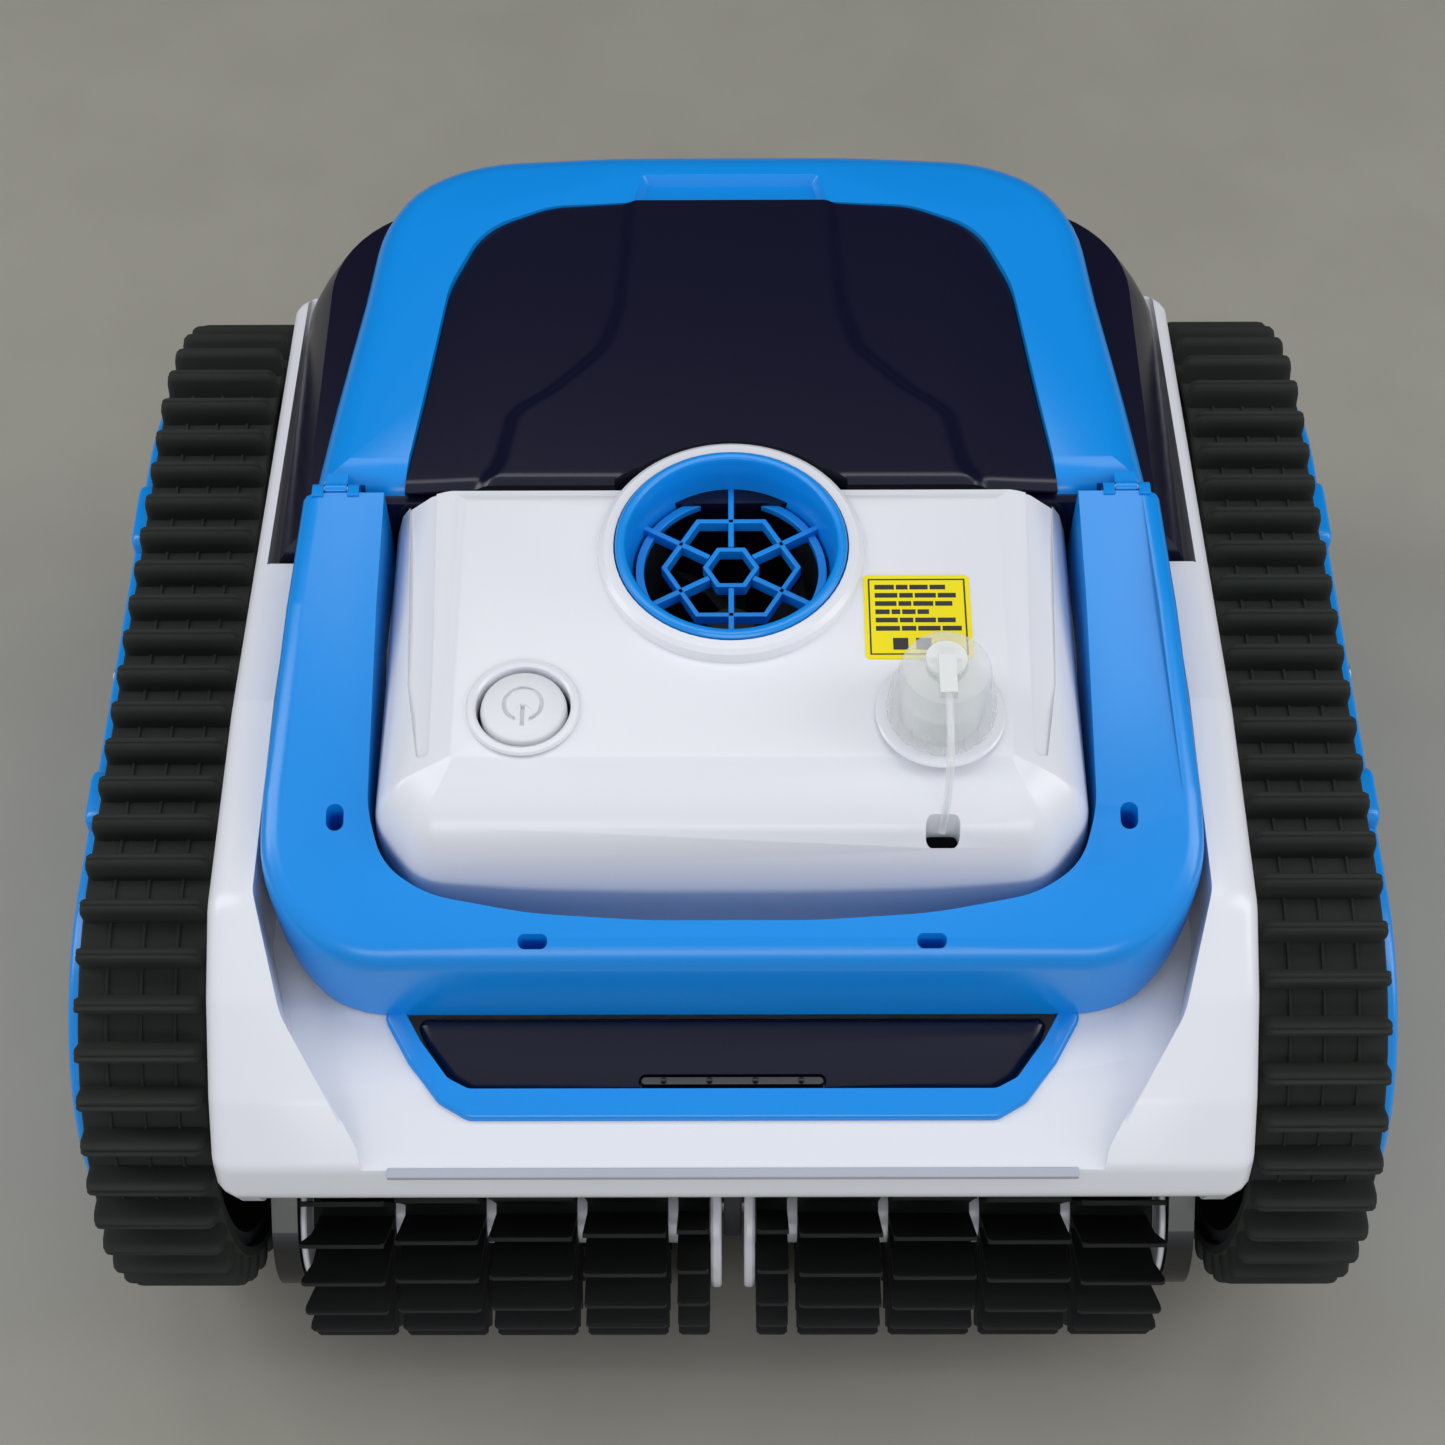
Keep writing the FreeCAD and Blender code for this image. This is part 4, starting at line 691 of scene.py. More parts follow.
def build_handle():
    edge = sizes().handle_edge / MM
    outer = both_halves([(135, 40, 0), (138.6, -20, 60), (142, -80, 60), (142, -129, 38)])
    rings = []
    for inset, drop in ((0, None), (0, edge * 1.6), (edge * 0.12, edge * 0.9),
                        (edge * 0.45, edge * 0.35), (edge, edge * 0.06), (edge * 1.5, 0)):
        def height(x, y, drop=drop):
            return handle_foot(y) if drop is None else handle_top(y) - drop
        rings.append(level(outline(outer, inset, 14), height))
    body = loft(rings)
    inner = both_halves([(109.6, 60, 0), (109.6, -84, 40), (104.5, -100.5, 20),
                         (91, -109.6, 36), (60, -115.2, 150), (25, HANDLE_BAR, 250)])
    inner_cut = prism(outline(inner, 0, 6), 140, 270)
    behind = box_shape((-200, REAR_EDGE, 120), (200, 80, 280))
    slots = []
    for _, side in SIDES:
        slots.append(prism(outline([(side * 119 + 2.6, -91, 2.5), (side * 119 + 2.6, -83, 2.5),
                                    (side * 119 - 2.6, -83, 2.5), (side * 119 - 2.6, -91, 2.5)],
                                   0, 5), 201, 262))
        slots.append(prism(outline([(side * 59 + 4.4, -125.2, 1.9), (side * 59 + 4.4, -121.2, 1.9),
                                    (side * 59 - 4.4, -121.2, 1.9),
                                    (side * 59 - 4.4, -125.2, 1.9)], 0, 5), 192, 262))
    body = carved(body, [inner_cut, behind, *slots])
    for _, side in SIDES:
        for near, far in ((117.6, 121.2), (128.8, 132.4)):
            lug = prism(outline([(17.5, 235.2, 0), (22.3, 235.2, 0.8), (22.95, 239.6, 1.6),
                                 (17.5, 239.6, 0)], 0, 4), side * near, side * far, "X")
            joined(body, lug)
    close_piece("handle", body, "chassis", "blue_plastic", ["carry_handle"], 0.5, 3, 35)


def build_rear_housing():
    rings = []
    for half, back, radius, height in ((151.6, 167.4, 44, 186.2), (151, 167.3, 44, 190),
                                       (150.2, 167.1, 44, 196), (148.4, 166.6, 43, 202),
                                       (145.2, 165.8, 42, 208), (141.5, 165.2, 41, 213.5),
                                       (138.4, 165, 40, 217.4)):
        plan = both_halves([(half, 20.4, 0), (half, back, radius)])
        rings.append(level(outline(plan, 0, 12), height))
    shape = loft(rings)
    rim_plan = both_halves([(126, 20.6, 0), (122, 60, 30), (116, 105, 40), (104, 148, 40)])
    rim = prism(outline(rim_plan, 0, 6), 215, 231)
    opening = box_shape((-91.5, 47, 180), (91.5, 141.5, 240))
    shape = carved(shape, [rim], "UNION")
    low_cut = prism(outline(both_halves([(136, 30, 3), (136, 156, 32)]), 0, 8), 180, 208)
    shape = carved(shape, [low_cut, opening])
    close_piece("rear_shell", shape, "chassis", "navy_gloss", ["rear_housing"], 0.8, 3, 32)


LID_SIDE = [(133.5, 23.4, 3), (129.5, 60, 120), (123.5, 105, 90), (117, 169.5, 50),
            (40, 175, 300)]
WINDOW_SIDE = [(104.3, 22.6, 0), (99.8, 60, 120), (94.6, 108, 50), (84.5, 134.5, 24),
               (62, 145.2, 30), (34, 147.2, 0)]
SCOOP_SIDE = [(35, 138, 2), (33.5, 152, 2), (31, 161.4, 3)]


def lid_top(x, y):
    return 239.4 - 4.0 * smooth((abs(x) - 108) / 34) - 3.5 * smooth((y - 150) / 30)


def build_lid():
    edge = sizes().lid_edge / MM
    plan = both_halves(LID_SIDE)
    rings = [level(outline(plan, 1.2, 12), 218.6), level(outline(plan, 0.5, 12), 220)]
    for inset, drop in ((0, 8.5), (edge * 0.08, edge * 0.75), (edge * 0.3, edge * 0.42),
                        (edge * 0.65, edge * 0.16), (edge, edge * 0.04), (edge * 1.5, 0)):
        rings.append(level(outline(plan, inset, 12),
                           lambda x, y, drop=drop: lid_top(x, y) - drop))
    frame_shape = loft(rings)
    hole = prism(outline(both_halves(WINDOW_SIDE), 0, 6), 200, 260)
    under = prism(outline(plan, 3.2, 12), 200, 233.0)
    notch = spun([(CORE, 200), (44, 200), (44, 260), (CORE, 260)], OUTLET, steps=72)
    scoop = loft([level(outline(both_halves(SCOOP_SIDE), inset, 5), height)
                  for inset, height in ((3.4, 234.9), (0.8, 237.9), (-0.6, 242))])
    gaps = [box_shape((min(side * 116.8, side * 133.6), 20, 210),
                      (max(side * 116.8, side * 133.6), 26.0, 260)) for _, side in SIDES]
    frame_shape = carved(frame_shape, [hole, notch, *gaps])
    frame_shape = carved(frame_shape, [under])
    frame_shape = carved(frame_shape, [scoop])
    for _, side in SIDES:
        knuckle = spun([(0.3, -3.4), (1.7, -3.4), (1.7, 3.4), (0.3, 3.4)],
                       (side * 125, 21.25, 238), "X", 20)
        arm = box_shape((side * 125 - 3.4, 21.3, 236.6), (side * 125 + 3.4, 27, 238.7))
        joined(frame_shape, knuckle, arm)
    close_piece("lid_rim", frame_shape, "lid", "blue_plastic", ["lid_frame"], 0.5, 3, 35)


WINDOW_UNDERSIDE = 233.2
CREASE = [(20, 82), (30, 74), (54, 70), (60, 60), (80, 42), (99, 37), (138, 35), (150, 34.5)]


def window_height(x, y):
    step = sizes().window_step / MM
    edge = 0
    for shift, share in ((-4, 0.25), (0, 0.5), (4, 0.25)):
        edge += along(CREASE, y + shift) * share
    centre = 1 - smooth((abs(x) - edge + 2.4) / 4.8)
    front = 1.6 * (1 - smooth((y - 22.4) / 4.5)) ** 2
    return 237.2 + step * centre - 1.8 * smooth((abs(x) - 70) / 40) - front


def build_window():
    loop = both_halves([(x - 0.35 if y > 23 else x, y, r) for x, y, r in WINDOW_SIDE])
    plan_cut = prism(outline(loop, 0.25, 6), 200, 260)

    def shape(u, v):
        x, y = u * 106, 22.6 + (v + 1) / 2 * 126
        return Vector((x, y, window_height(x, y)))
    slab = relief(150, 110, shape, WINDOW_UNDERSIDE)
    notch_cut = spun([(CORE, 200), (44.6, 200), (44.6, 260), (CORE, 260)], OUTLET,
                     steps=72)
    corners = [prism(outline([(side * 28, 20, 0), (side * 37, 20, 0), (side * 37, 24.4, 1),
                              (side * 30.5, 28.6, 1), (side * 28, 28.6, 0)], 0, 4), 200, 260)
               for _, side in SIDES]
    slab = carved(slab, [plan_cut], "INTERSECT")
    slab = carved(slab, [notch_cut, *corners])
    close_piece("window", slab, "lid", "navy_gloss", ["lid_window"], 0.45, 3, 32)


# Belts, wheels and side panels

AXLES = ((-86, 97), (88.5, 97))
BELT_RADIUS = 88


def belt_place(distance):
    """The point on the belt's outer face, and its outward direction, at a distance round it."""
    straight = AXLES[1][0] - AXLES[0][0]
    half_turn = math.pi * BELT_RADIUS
    distance %= 2 * (straight + half_turn)
    if distance < straight:
        return AXLES[0][0] + distance, AXLES[0][1] - BELT_RADIUS, -math.pi / 2
    distance -= straight
    if distance < half_turn:
        angle = -math.pi / 2 + distance / BELT_RADIUS
        centre = AXLES[1]
    elif distance < half_turn + straight:
        return AXLES[1][0] - (distance - half_turn), AXLES[1][1] + BELT_RADIUS, math.pi / 2
    else:
        angle = math.pi / 2 + (distance - half_turn - straight) / BELT_RADIUS
        centre = AXLES[0]
    return (centre[0] + BELT_RADIUS * math.cos(angle),
            centre[1] + BELT_RADIUS * math.sin(angle), angle)


def capsule(radius, inset=0.0, steps=24):
    """The (y, z) loop round both axles at a radius, moved inwards by an inset."""
    loop = []
    for centre, start in ((AXLES[1], -90), (AXLES[0], 90)):
        for step in range(steps + 1):
            angle = math.radians(start + 180 * step / steps)
            loop.append((centre[0] + (radius - inset) * math.cos(angle),
                         centre[1] + (radius - inset) * math.sin(angle)))
    return loop


def belt_loop(radius):
    return capsule(radius, steps=32)


def make_cleat(near, far, height):
    """One cleat standing on +X in the (out, round) plane, with a groove along its tip."""
    section = [(-1.2, -3.3), (1.0, -2.9), (height * 0.72, -2.3), (height - 0.9, -2.1),
               (height, -1.2), (height - 0.1, -0.55), (height - 0.7, 0), (height - 0.1, 0.55),
               (height, 1.2), (height - 0.9, 2.1), (height * 0.72, 2.3), (1.0, 2.9), (-1.2, 3.3)]
    stops = ((near, 0.62, 0.80), (near + 0.5, 0.86, 0.93), (near + 1.6, 0.97, 1),
             (near + 3.2, 1, 1), (far - 3.2, 1, 1), (far - 1.6, 0.97, 1),
             (far - 0.5, 0.86, 0.93), (far, 0.62, 0.80))
    rings = [[Vector((x, out * tall, turn * thick)) for out, turn in section]
             for x, tall, thick in stops]
    return loft(rings)


def build_belts():
    settings = sizes()
    height = settings.cleat_height / MM
    count = settings.cleat_count
    length = 2 * (AXLES[1][0] - AXLES[0][0]) + 2 * math.pi * BELT_RADIUS
    for name, side in SIDES:
        low, high = box_mm(f"track_belt_{name}")
        near, far = low.x, high.x
        belt = loft([across(belt_loop(88), near + 0.6), across(belt_loop(88), far - 0.6),
                     across(belt_loop(87.4), far), across(belt_loop(84.6), far),
                     across(belt_loop(84.0), far - 0.6), across(belt_loop(84.0), near + 0.6),
                     across(belt_loop(84.6), near), across(belt_loop(87.4), near)],
                    round_trip=True)
        for x in (near + 9, near + 19.5, near + 30):
            rib = loft([across(belt_loop(87.8), x - 0.8), across(belt_loop(88.7), x - 0.4),
                        across(belt_loop(88.7), x + 0.4), across(belt_loop(87.8), x + 0.8)],
                       round_trip=True)
            joined(belt, rib)
        close_piece(f"belt_{name}", belt, "chassis", "track_rubber", [f"track_belt_{name}"])
        cleats = bmesh.new()
        for number in range(count):
            shift = number if side > 0 else number + 0.5
            y, z, angle = belt_place(shift * length / count)
            cleat = make_cleat(near + 0.4, far - 0.4, height)
            turn = (Matrix.Translation((0, y, z)) @ Matrix.Rotation(angle, 4, "X"))
            bmesh.ops.transform(cleat, matrix=turn, verts=cleat.verts)
            joined(cleats, cleat)
        close_piece(f"cleats_{name}", cleats, "chassis", "track_rubber", crease=50)


PANEL_LOBES = ((-66, -40), (46, 78))
PANEL_RADIUS = 72
PANEL_POSTS = (34, 160)


def build_side_panels():
    for name, side in SIDES:
        shell = loft([across(capsule(PANEL_RADIUS, inset), side * x)
                      for inset, x in ((0, 202), (0, 205.6), (0.5, 206.7), (1.6, 207.6),
                                       (3.2, 208))])
        sunk = loft([across(capsule(60, 1.6), side * 206.4), across(capsule(60, 0), side * 209)])
        shell = carved(shell, [sunk])
        for y, z in AXLES:
            hub = spun([(CORE, 205), (27, 205), (27, 207.2), (26.2, 208), (21, 208),
                        (20, 207), (CORE, 207)], (0, y, z), "X", 48)
            if side < 0:
                hub = other_side(hub)
            joined(shell, hub)
        for start, end in PANEL_LOBES:
            wing = loft([across(outline([(start, 150, 2), (end, 150, 2), (end - 3, 174.6, 4),
                                         (start + 3, 174.6, 4)], inset, 5), side * x)
                         for inset, x in ((0, 202), (0, 206), (0.5, 207), (1.6, 207.8))])
            joined(shell, wing)
        for z in PANEL_POSTS:
            joined(shell, prism(outline([(-5.5, z - 6, 3), (8, z - 6, 3), (8, z + 6, 3),
                                         (-5.5, z + 6, 3)], 0, 5), side * 150, side * 203, "X"))
        close_piece(f"side_cover_{name}", shell, "chassis", "blue_plastic",
                    [f"side_panel_{name}"], 0.4, 2, 32)


# Brushes and drive

BRUSH_AXIS = (-140.5, 45.5)
FIN_COLUMNS = ((8, 18.5), (22, 49.5), (53, 80.5), (84, 111.5), (115, 142.8))


def build_brushes():
    settings = sizes()
    thick = settings.fin_thickness / MM
    for name, side in SIDES:
        fins = bmesh.new()
        for column, (near, far) in enumerate(FIN_COLUMNS):
            last = column == len(FIN_COLUMNS) - 1
            for count in range(settings.fin_count):
                rings = []
                for radius, share, sweep in ((15.6, 1.25, 0), (24, 1.0, 0.012), (34, 0.85, 0.02),
                                             (42, 0.8, 0.025), (44.0, 1.3, 0.025),
                                             (44.9, 0.9, 0.025)):
                    half = thick * share / 2
                    end_cut = 1.2 if radius > 44.5 else 0.0
                    inner_x = side * (near + end_cut)
                    outer_x = side * (far - end_cut - (2.2 if last and radius < 40 else 0))
                    shift = sweep * radius
                    rings.append([Vector((inner_x, shift - half, radius)),
                                  Vector((inner_x, shift + half, radius)),
                                  Vector((outer_x, shift + half, radius)),
                                  Vector((outer_x, shift - half, radius))])
                fin = loft(rings)
                angle = (360 / settings.fin_count) * count + 1.5 * column
                turn = (Matrix.Translation((0, *BRUSH_AXIS))
                        @ Matrix.Rotation(math.radians(angle), 4, "X"))
                bmesh.ops.transform(fin, matrix=turn, verts=fin.verts)
                joined(fins, fin)
            sleeve = spun([(14.2, side * near), (16.2, side * near), (16.2, side * far),
                           (14.2, side * far)], (0, *BRUSH_AXIS), "X", 40, ring=True)
            joined(fins, sleeve)
        close_piece(f"brush_blades_{name}", fins, f"brush_{name}", "brush_rubber",
                    [f"brush_fins_{name}"], crease=40)
        core = spun([(5, side * 3.8), (28.4, side * 3.8), (29, side * 4.6), (29, side * 6.6),
                     (28.2, side * 7.5), (14, side * 7.5), (14, side * 143.5),
                     (25.4, side * 143.5), (26, side * 144), (26, side * 145.2),
                     (25.4, side * 145.7), (5, side * 145.7)], (0, *BRUSH_AXIS), "X", 56,
                    ring=True)
        close_piece(f"brush_drum_{name}", core, f"brush_{name}", "white_shell",
                    [f"brush_core_{name}"], 0.3)


def build_bracket():
    profile = [(-92, 60.4), (-92, 84), (-128, 94), (-134, 95.8), (-146, 95.8), (-151.6, 90),
               (-151.6, 41), (-146, 36.2), (-135, 36.2), (-131, 41), (-129, 60)]
    corners = [(y, z, 0 if i < 2 else 3) for i, (y, z) in enumerate(profile)]
    arm = loft([across(outline(corners, inset, 4), x)
                for x, inset in ((-3, 0.6), (-2.4, 0), (2.4, 0), (3, 0.6))])
    close_piece("brush_arm", arm, "chassis", "dark_plastic", ["brush_bracket"], 0.2)


# Screws

SCREW_FACE = 208.9


def build_screws():
    screws = bmesh.new()
    heads = [(side, y, z) for _, side in SIDES for y, z in ((1.25, 34), (1.25, 160), (-86, 97))]
    for side, y, z in heads:
        head = spun([(CORE, -2.6), (3.0, -2.6), (3.4, -1.6), (3.0, -0.6), (1.8, -0.05),
                     (CORE, 0)], (0, 0, 0), steps=28)
        cross = [box_shape((-2.1, -0.35, -1.1), (2.1, 0.35, 0.5)),
                 box_shape((-0.35, -2.1, -1.1), (0.35, 2.1, 0.5))]
        head = carved(head, cross)
        turn = (Matrix.Translation((side * SCREW_FACE, y, z))
                @ Matrix.Rotation(math.radians(90 * side), 4, "Y"))
        bmesh.ops.transform(head, matrix=turn, verts=head.verts)
        joined(screws, head)
    close_piece("cover_screws", screws, "chassis", "steel", bevel=0.1)


# Materials

def add_node(tree, kind, **settings):
    node = tree.nodes.new(kind)
    for name, value in settings.items():
        setattr(node, name, value)
    return node


def wire(tree, out, into):
    tree.links.new(out, into)


def new_group(name, inputs, outputs):
    tree = bpy.data.node_groups.new(name, "ShaderNodeTree")
    for title, kind, default in inputs:
        socket = tree.interface.new_socket(title, in_out="INPUT", socket_type=kind)
        if default is not None:
            socket.default_value = default
    for title, kind in outputs:
        tree.interface.new_socket(title, in_out="OUTPUT", socket_type=kind)
    return tree, tree.nodes.new("NodeGroupInput"), tree.nodes.new("NodeGroupOutput")


def noise(tree, coordinates, scale, detail=4.0, roughness=0.55):
    node = add_node(tree, "ShaderNodeTexNoise")
    node.inputs["Scale"].default_value = scale
    node.inputs["Detail"].default_value = detail
    node.inputs["Roughness"].default_value = roughness
    wire(tree, coordinates, node.inputs["Vector"])
    return node.outputs["Fac"]


def remap(tree, value, low, high, to_low=0.0, to_high=1.0):
    node = add_node(tree, "ShaderNodeMapRange", interpolation_type="SMOOTHSTEP")
    node.inputs["From Min"].default_value = low
    node.inputs["From Max"].default_value = high
    node.inputs["To Min"].default_value = to_low
    node.inputs["To Max"].default_value = to_high
    wire(tree, value, node.inputs["Value"])
    return node.outputs["Result"]


def calculate(tree, operation, first, second):
    node = add_node(tree, "ShaderNodeMath", operation=operation)
    for socket, value in zip(node.inputs, (first, second)):
        if isinstance(value, (int, float)):
            socket.default_value = value
        else:
            wire(tree, value, socket)
    return node.outputs["Value"]


def mix_colours(tree, share, first, second):
    node = add_node(tree, "ShaderNodeMix", data_type="RGBA")
    for socket, value in ((node.inputs[0], share), (node.inputs[6], first),
                          (node.inputs[7], second)):
        if isinstance(value, (int, float, tuple)):
            socket.default_value = value
        else:
            wire(tree, value, socket)
    return node.outputs[2]


def make_surface_group():
    """Uneven tone, roughness and grain of a moulded surface, with wear on its edges and dust."""
    tree, start, end = new_group("moulded_surface", [
        ("Vector", "NodeSocketVector", None),
        ("Colour", "NodeSocketColor", (0.5, 0.5, 0.5, 1)),
        ("Wear colour", "NodeSocketColor", (0.6, 0.6, 0.6, 1)),
        ("Roughness", "NodeSocketFloat", 0.3),
        ("Grain size", "NodeSocketFloat", 900.0),
        ("Grain depth", "NodeSocketFloat", 0.1),
        ("Wear", "NodeSocketFloat", 0.2),
        ("Dust", "NodeSocketFloat", 0.1),
    ], [("Colour", "NodeSocketColor"), ("Roughness", "NodeSocketFloat"),
        ("Normal", "NodeSocketVector")])
    at = start.outputs["Vector"]
    geometry = add_node(tree, "ShaderNodeNewGeometry")
    broad = noise(tree, at, 14.0, 5.0)
    fine = noise(tree, at, 160.0, 3.0)
    edge = remap(tree, geometry.outputs["Pointiness"], 0.53, 0.62)
    worn = calculate(tree, "MULTIPLY", edge, remap(tree, fine, 0.48, 0.62))
    worn = calculate(tree, "MULTIPLY", worn, start.outputs["Wear"])
    hollow = remap(tree, geometry.outputs["Pointiness"], 0.495, 0.44)
    dusty = calculate(tree, "MULTIPLY", hollow, remap(tree, broad, 0.35, 0.65))
    dusty = calculate(tree, "MULTIPLY", dusty, start.outputs["Dust"])
    tone = add_node(tree, "ShaderNodeHueSaturation")
    wire(tree, remap(tree, broad, 0.25, 0.75, 0.965, 1.03), tone.inputs["Value"])
    wire(tree, start.outputs["Colour"], tone.inputs["Color"])
    colour = mix_colours(tree, worn, tone.outputs["Color"], start.outputs["Wear colour"])
    colour = mix_colours(tree, dusty, colour, (0.32, 0.30, 0.27, 1))
    wire(tree, colour, end.inputs["Colour"])
    patches = remap(tree, broad, 0.3, 0.7, -0.03, 0.04)
    rough = calculate(tree, "ADD", start.outputs["Roughness"], patches)
    rough = calculate(tree, "ADD", rough, calculate(tree, "MULTIPLY", dusty, 0.4))
    rough = calculate(tree, "ADD", rough, calculate(tree, "MULTIPLY", worn, 0.25))
    wire(tree, rough, end.inputs["Roughness"])
    grain = add_node(tree, "ShaderNodeTexNoise")
    grain.inputs["Detail"].default_value = 2.0
    wire(tree, at, grain.inputs["Vector"])
    wire(tree, start.outputs["Grain size"], grain.inputs["Scale"])
    bump = add_node(tree, "ShaderNodeBump")
    bump.inputs["Distance"].default_value = 0.0004
    wire(tree, start.outputs["Grain depth"], bump.inputs["Strength"])
    wire(tree, grain.outputs["Fac"], bump.inputs["Height"])
    wire(tree, bump.outputs["Normal"], end.inputs["Normal"])


def make_scratch_group():
    """Hairline scratches in two directions, as a mask."""
    tree, start, end = new_group("hairlines", [("Vector", "NodeSocketVector", None)],
                                 [("Mask", "NodeSocketFloat")])
    masks = []
    for stretch, turn in (((900, 14, 14), 0.4), ((14, 800, 14), -0.7)):
        place = add_node(tree, "ShaderNodeMapping")
        place.inputs["Scale"].default_value = stretch
        place.inputs["Rotation"].default_value = (0.2, 0, turn)
        wire(tree, start.outputs["Vector"], place.inputs["Vector"])
        masks.append(remap(tree, noise(tree, place.outputs["Vector"], 1.0, 2.0), 0.66, 0.74))
    wire(tree, calculate(tree, "MAXIMUM", *masks), end.inputs["Mask"])


def make_material(name, colour, rough=0.3, grain=900.0, depth=0.1, wear=0.2, dust=0.1,
                  wear_colour=(0.7, 0.72, 0.75), hairlines=0.0, **shader_values):
    material = bpy.data.materials.new(name)
    material.use_nodes = True
    tree = material.node_tree
    shader = tree.nodes["Principled BSDF"]
    where = add_node(tree, "ShaderNodeTexCoord")
    surface = add_node(tree, "ShaderNodeGroup", node_tree=bpy.data.node_groups["moulded_surface"])
    for title, value in (("Colour", (*colour, 1)), ("Wear colour", (*wear_colour, 1)),
                         ("Roughness", rough), ("Grain size", grain), ("Grain depth", depth),
                         ("Wear", wear), ("Dust", dust)):
        surface.inputs[title].default_value = value
    wire(tree, where.outputs["Object"], surface.inputs["Vector"])
    wire(tree, surface.outputs["Colour"], shader.inputs["Base Color"])
    rough_out = surface.outputs["Roughness"]
    if hairlines:
        lines = add_node(tree, "ShaderNodeGroup", node_tree=bpy.data.node_groups["hairlines"])
        wire(tree, where.outputs["Object"], lines.inputs["Vector"])
        share = calculate(tree, "MULTIPLY", lines.outputs["Mask"], hairlines)
        rough_out = calculate(tree, "ADD", rough_out, share)
    wire(tree, rough_out, shader.inputs["Roughness"])
    wire(tree, surface.outputs["Normal"], shader.inputs["Normal"])
    for title, value in shader_values.items():
        shader.inputs[title.replace("_", " ")].default_value = value
    return material


def build_materials():
    make_surface_group()
    make_scratch_group()
    tint = colours()
    make_material("white_shell", tuple(tint.shell), 0.26, 1400, 0.04, 0.15, 0.25, hairlines=0.10)
    make_material("white_button", (0.76, 0.77, 0.80), 0.36, 2200, 0.06, 0.1, 0.3)
    make_material("navy_gloss", tuple(tint.navy), 0.09, 700, 0.012, 0.12, 0.10,
                  (0.02, 0.025, 0.05), 0.06, Specular_IOR_Level=0.35)
    make_material("blue_plastic", tuple(tint.blue), 0.24, 1200, 0.05, 0.15, 0.12,
                  (0.30, 0.55, 0.85), 0.10)
    make_material("track_rubber", tuple(tint.rubber), 0.52, 1600, 0.22, 0.25, 0.35,
                  (0.035, 0.036, 0.035))
    make_material("brush_rubber", tuple(tint.rubber), 0.40, 1200, 0.12, 0.3, 0.15,
                  (0.05, 0.05, 0.05))
    make_material("black_gloss", (0.012, 0.012, 0.014), 0.14, 900, 0.03, 0.2, 0.15,
                  (0.06, 0.06, 0.07), 0.1)
    make_material("dark_plastic", (0.028, 0.029, 0.033), 0.42, 1500, 0.14, 0.25, 0.3,
                  (0.09, 0.09, 0.10))
    make_material("clear_plastic", (0.93, 0.95, 0.96), 0.07, 700, 0.02, 0.0, 0.0,
                  hairlines=0.08, Transmission_Weight=0.92, IOR=1.46)
    make_material("frosted_plastic", (0.78, 0.80, 0.79), 0.5, 1800, 0.12, 0.1, 0.1)
    make_material("steel", (0.56, 0.57, 0.59), 0.28, 1800, 0.06, 0.2, 0.25, hairlines=0.2,
                  Metallic=1.0)
    make_material("motor_steel", (0.34, 0.35, 0.37), 0.36, 1500, 0.08, 0.2, 0.2, hairlines=0.2,
                  Metallic=1.0)
    make_material("cell_wrap", (0.05, 0.22, 0.14), 0.3, 1200, 0.05, 0.1, 0.1)
    make_material("circuit_board", (0.01, 0.12, 0.05), 0.35, 2600, 0.2, 0.2, 0.1)
    make_material("seal_rubber", (0.02, 0.02, 0.021), 0.6, 1500, 0.2, 0.0, 0.3)
    make_material("mesh_cloth", (0.10, 0.11, 0.12), 0.7, 3200, 0.5, 0.0, 0.3)
    # Grey of the nose strip: painted shade of the step's tilted face behind the front lip.
    make_material("painted_shade_grey", (0.42, 0.44, 0.50), 0.4, 1500, 0.05, 0.0, 0.2)
    make_material("yellow_label", tuple(tint.label), 0.32, 1500, 0.05, 0.0, 0.05)
    make_material("label_ink", (0.012, 0.012, 0.012), 0.4, 1500, 0.05, 0.0, 0.05)
    make_material("studio_floor", tuple(tint.floor), 0.55, 300, 0.02, 0.0, 0.0)


def finish_frame_nodes():
    """The CAD solids that stay in the model take the detailed material of their slot."""
    for part in frame["record"]["subparts"]:
        item = frame["nodes"][part["node"]]
        item.data.materials.clear()
        item.data.materials.append(bpy.data.materials[part["material_slot"]])


# Operators, panel and running

class CLEANER_OT_materials(Operator):
    """Makes every procedural material"""
    bl_idname = "cleaner.materials"
    bl_label = "Materials"

    def execute(self, context):
        build_materials()
        finish_frame_nodes()
        return {"FINISHED"}


class CLEANER_OT_stage(Operator):
    """Sets the floor, lights, world and camera"""
    bl_idname = "cleaner.stage"
    bl_label = "Stage"

    def execute(self, context):
        build_stage()
        return {"FINISHED"}


class CLEANER_OT_tether(Operator):
    """Lays the cord that holds the charging cap"""
    bl_idname = "cleaner.tether"
    bl_label = "Cap tether"

    def execute(self, context):
        build_tether()
        return {"FINISHED"}


class CLEANER_OT_hull(Operator):
    """Builds the white hull and the front deck parts"""
    bl_idname = "cleaner.hull"
    bl_label = "Hull"

    def execute(self, context):
        build_hull()
        build_deck_parts()
        return {"FINISHED"}


class CLEANER_OT_cover(Operator):
    """Builds the cover, grille and impeller"""
    bl_idname = "cleaner.cover"
    bl_label = "Top cover"

    def execute(self, context):
        build_top_cover()
        build_grille()
        build_impeller()
        return {"FINISHED"}


class CLEANER_OT_controls(Operator):
    """Builds the button, charging port and label"""
    bl_idname = "cleaner.controls"
    bl_label = "Controls"

    def execute(self, context):
        build_button()
        build_port()
        build_label()
        return {"FINISHED"}


class CLEANER_OT_handle(Operator):
    """Builds the blue carrying handle"""
    bl_idname = "cleaner.handle"
    bl_label = "Carry handle"

    def execute(self, context):
        build_handle()
        return {"FINISHED"}


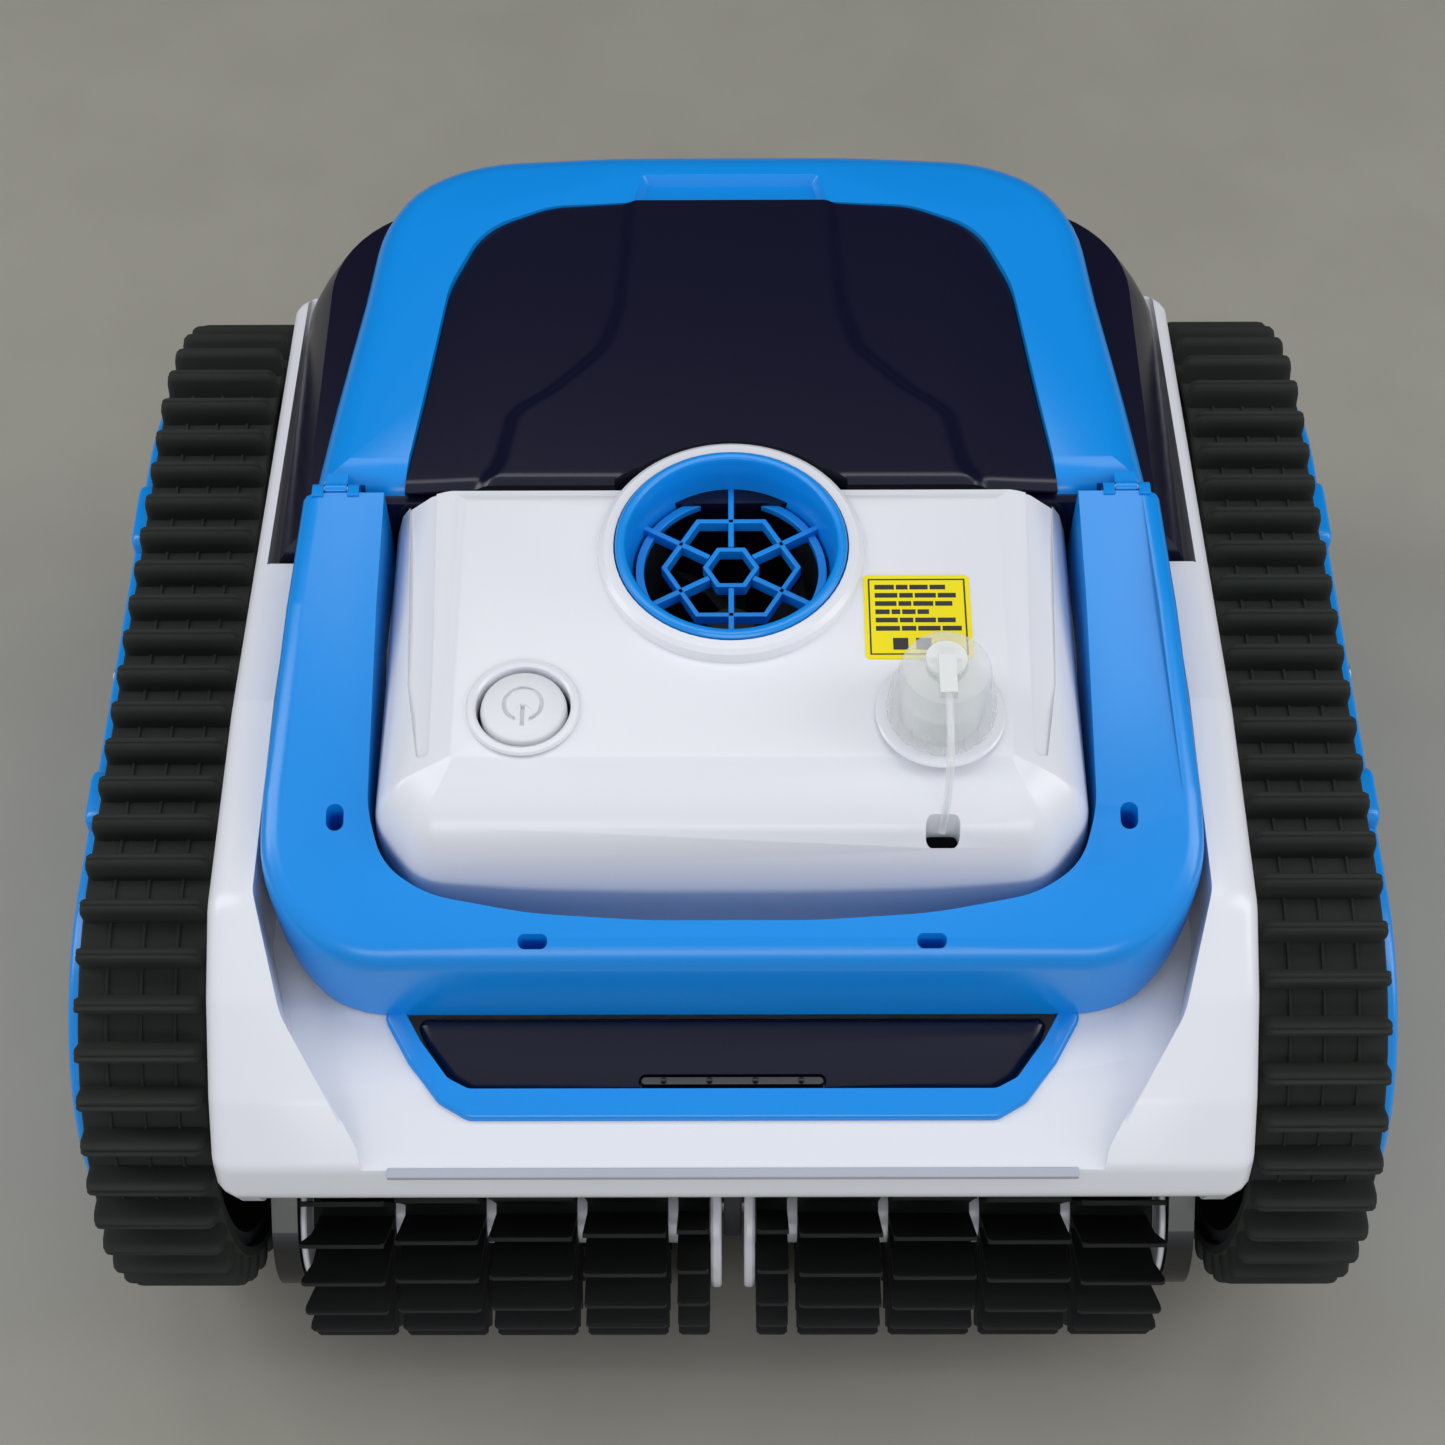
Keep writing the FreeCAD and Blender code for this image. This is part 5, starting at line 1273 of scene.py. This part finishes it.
class CLEANER_OT_rear(Operator):
    """Builds the dark rear housing"""
    bl_idname = "cleaner.rear"
    bl_label = "Rear housing"

    def execute(self, context):
        build_rear_housing()
        return {"FINISHED"}


class CLEANER_OT_lid(Operator):
    """Builds the frame and window of the lid"""
    bl_idname = "cleaner.lid"
    bl_label = "Lid"

    def execute(self, context):
        build_lid()
        build_window()
        return {"FINISHED"}


class CLEANER_OT_belts(Operator):
    """Builds both cleated belts"""
    bl_idname = "cleaner.belts"
    bl_label = "Track belts"

    def execute(self, context):
        build_belts()
        return {"FINISHED"}


class CLEANER_OT_side_panels(Operator):
    """Builds the covers outside the belts and their screws"""
    bl_idname = "cleaner.side_panels"
    bl_label = "Side panels"

    def execute(self, context):
        build_side_panels()
        build_screws()
        return {"FINISHED"}


class CLEANER_OT_brushes(Operator):
    """Builds the brush fins, drums and bracket"""
    bl_idname = "cleaner.brushes"
    bl_label = "Brushes"

    def execute(self, context):
        build_brushes()
        build_bracket()
        return {"FINISHED"}


OPERATORS = (CLEANER_OT_materials,
             CLEANER_OT_stage,
             CLEANER_OT_tether,
             CLEANER_OT_hull,
             CLEANER_OT_cover,
             CLEANER_OT_controls,
             CLEANER_OT_handle,
             CLEANER_OT_rear,
             CLEANER_OT_lid,
             CLEANER_OT_belts,
             CLEANER_OT_side_panels,
             CLEANER_OT_brushes)


class CLEANER_PT_panel(Panel):
    bl_label = "Pool Cleaner"
    bl_idname = "CLEANER_PT_panel"
    bl_space_type = "VIEW_3D"
    bl_region_type = "UI"
    bl_category = "Pool Cleaner"

    def draw(self, context):
        layout = self.layout
        for settings in (context.scene.cleaner_sizes, context.scene.cleaner_colours):
            for name in settings.bl_rna.properties.keys():
                if name not in ("rna_type", "name"):
                    layout.prop(settings, name)
        for item in OPERATORS:
            layout.operator(item.bl_idname)


CLASSES = (CleanerSizes, CleanerColours, *OPERATORS, CLEANER_PT_panel)


def register():
    for item in CLASSES:
        bpy.utils.register_class(item)
    bpy.types.Scene.cleaner_sizes = PointerProperty(type=CleanerSizes)
    bpy.types.Scene.cleaner_colours = PointerProperty(type=CleanerColours)


def unregister():
    del bpy.types.Scene.cleaner_sizes
    del bpy.types.Scene.cleaner_colours
    for item in reversed(CLASSES):
        bpy.utils.unregister_class(item)


def visual_box():
    bpy.context.view_layer.update()
    low = Vector((math.inf,) * 3)
    high = -low
    for item in bpy.context.scene.objects:
        if item.type not in ("MESH", "CURVE") or item.name == "floor" or item.hide_render:
            continue
        for corner in item.bound_box:
            point = item.matrix_world @ Vector(corner)
            low = Vector(map(min, low, point))
            high = Vector(map(max, high, point))
    return [list(low), list(high)]


def main():
    register()
    for name in (item.bl_idname.split(".")[1] for item in OPERATORS):
        getattr(bpy.ops.cleaner, name)()
    cad = [list(corner) for corner in CAD_BOX]
    {"cad": cad, "visual": visual_box()}


if __name__ == "__main__":
    main()
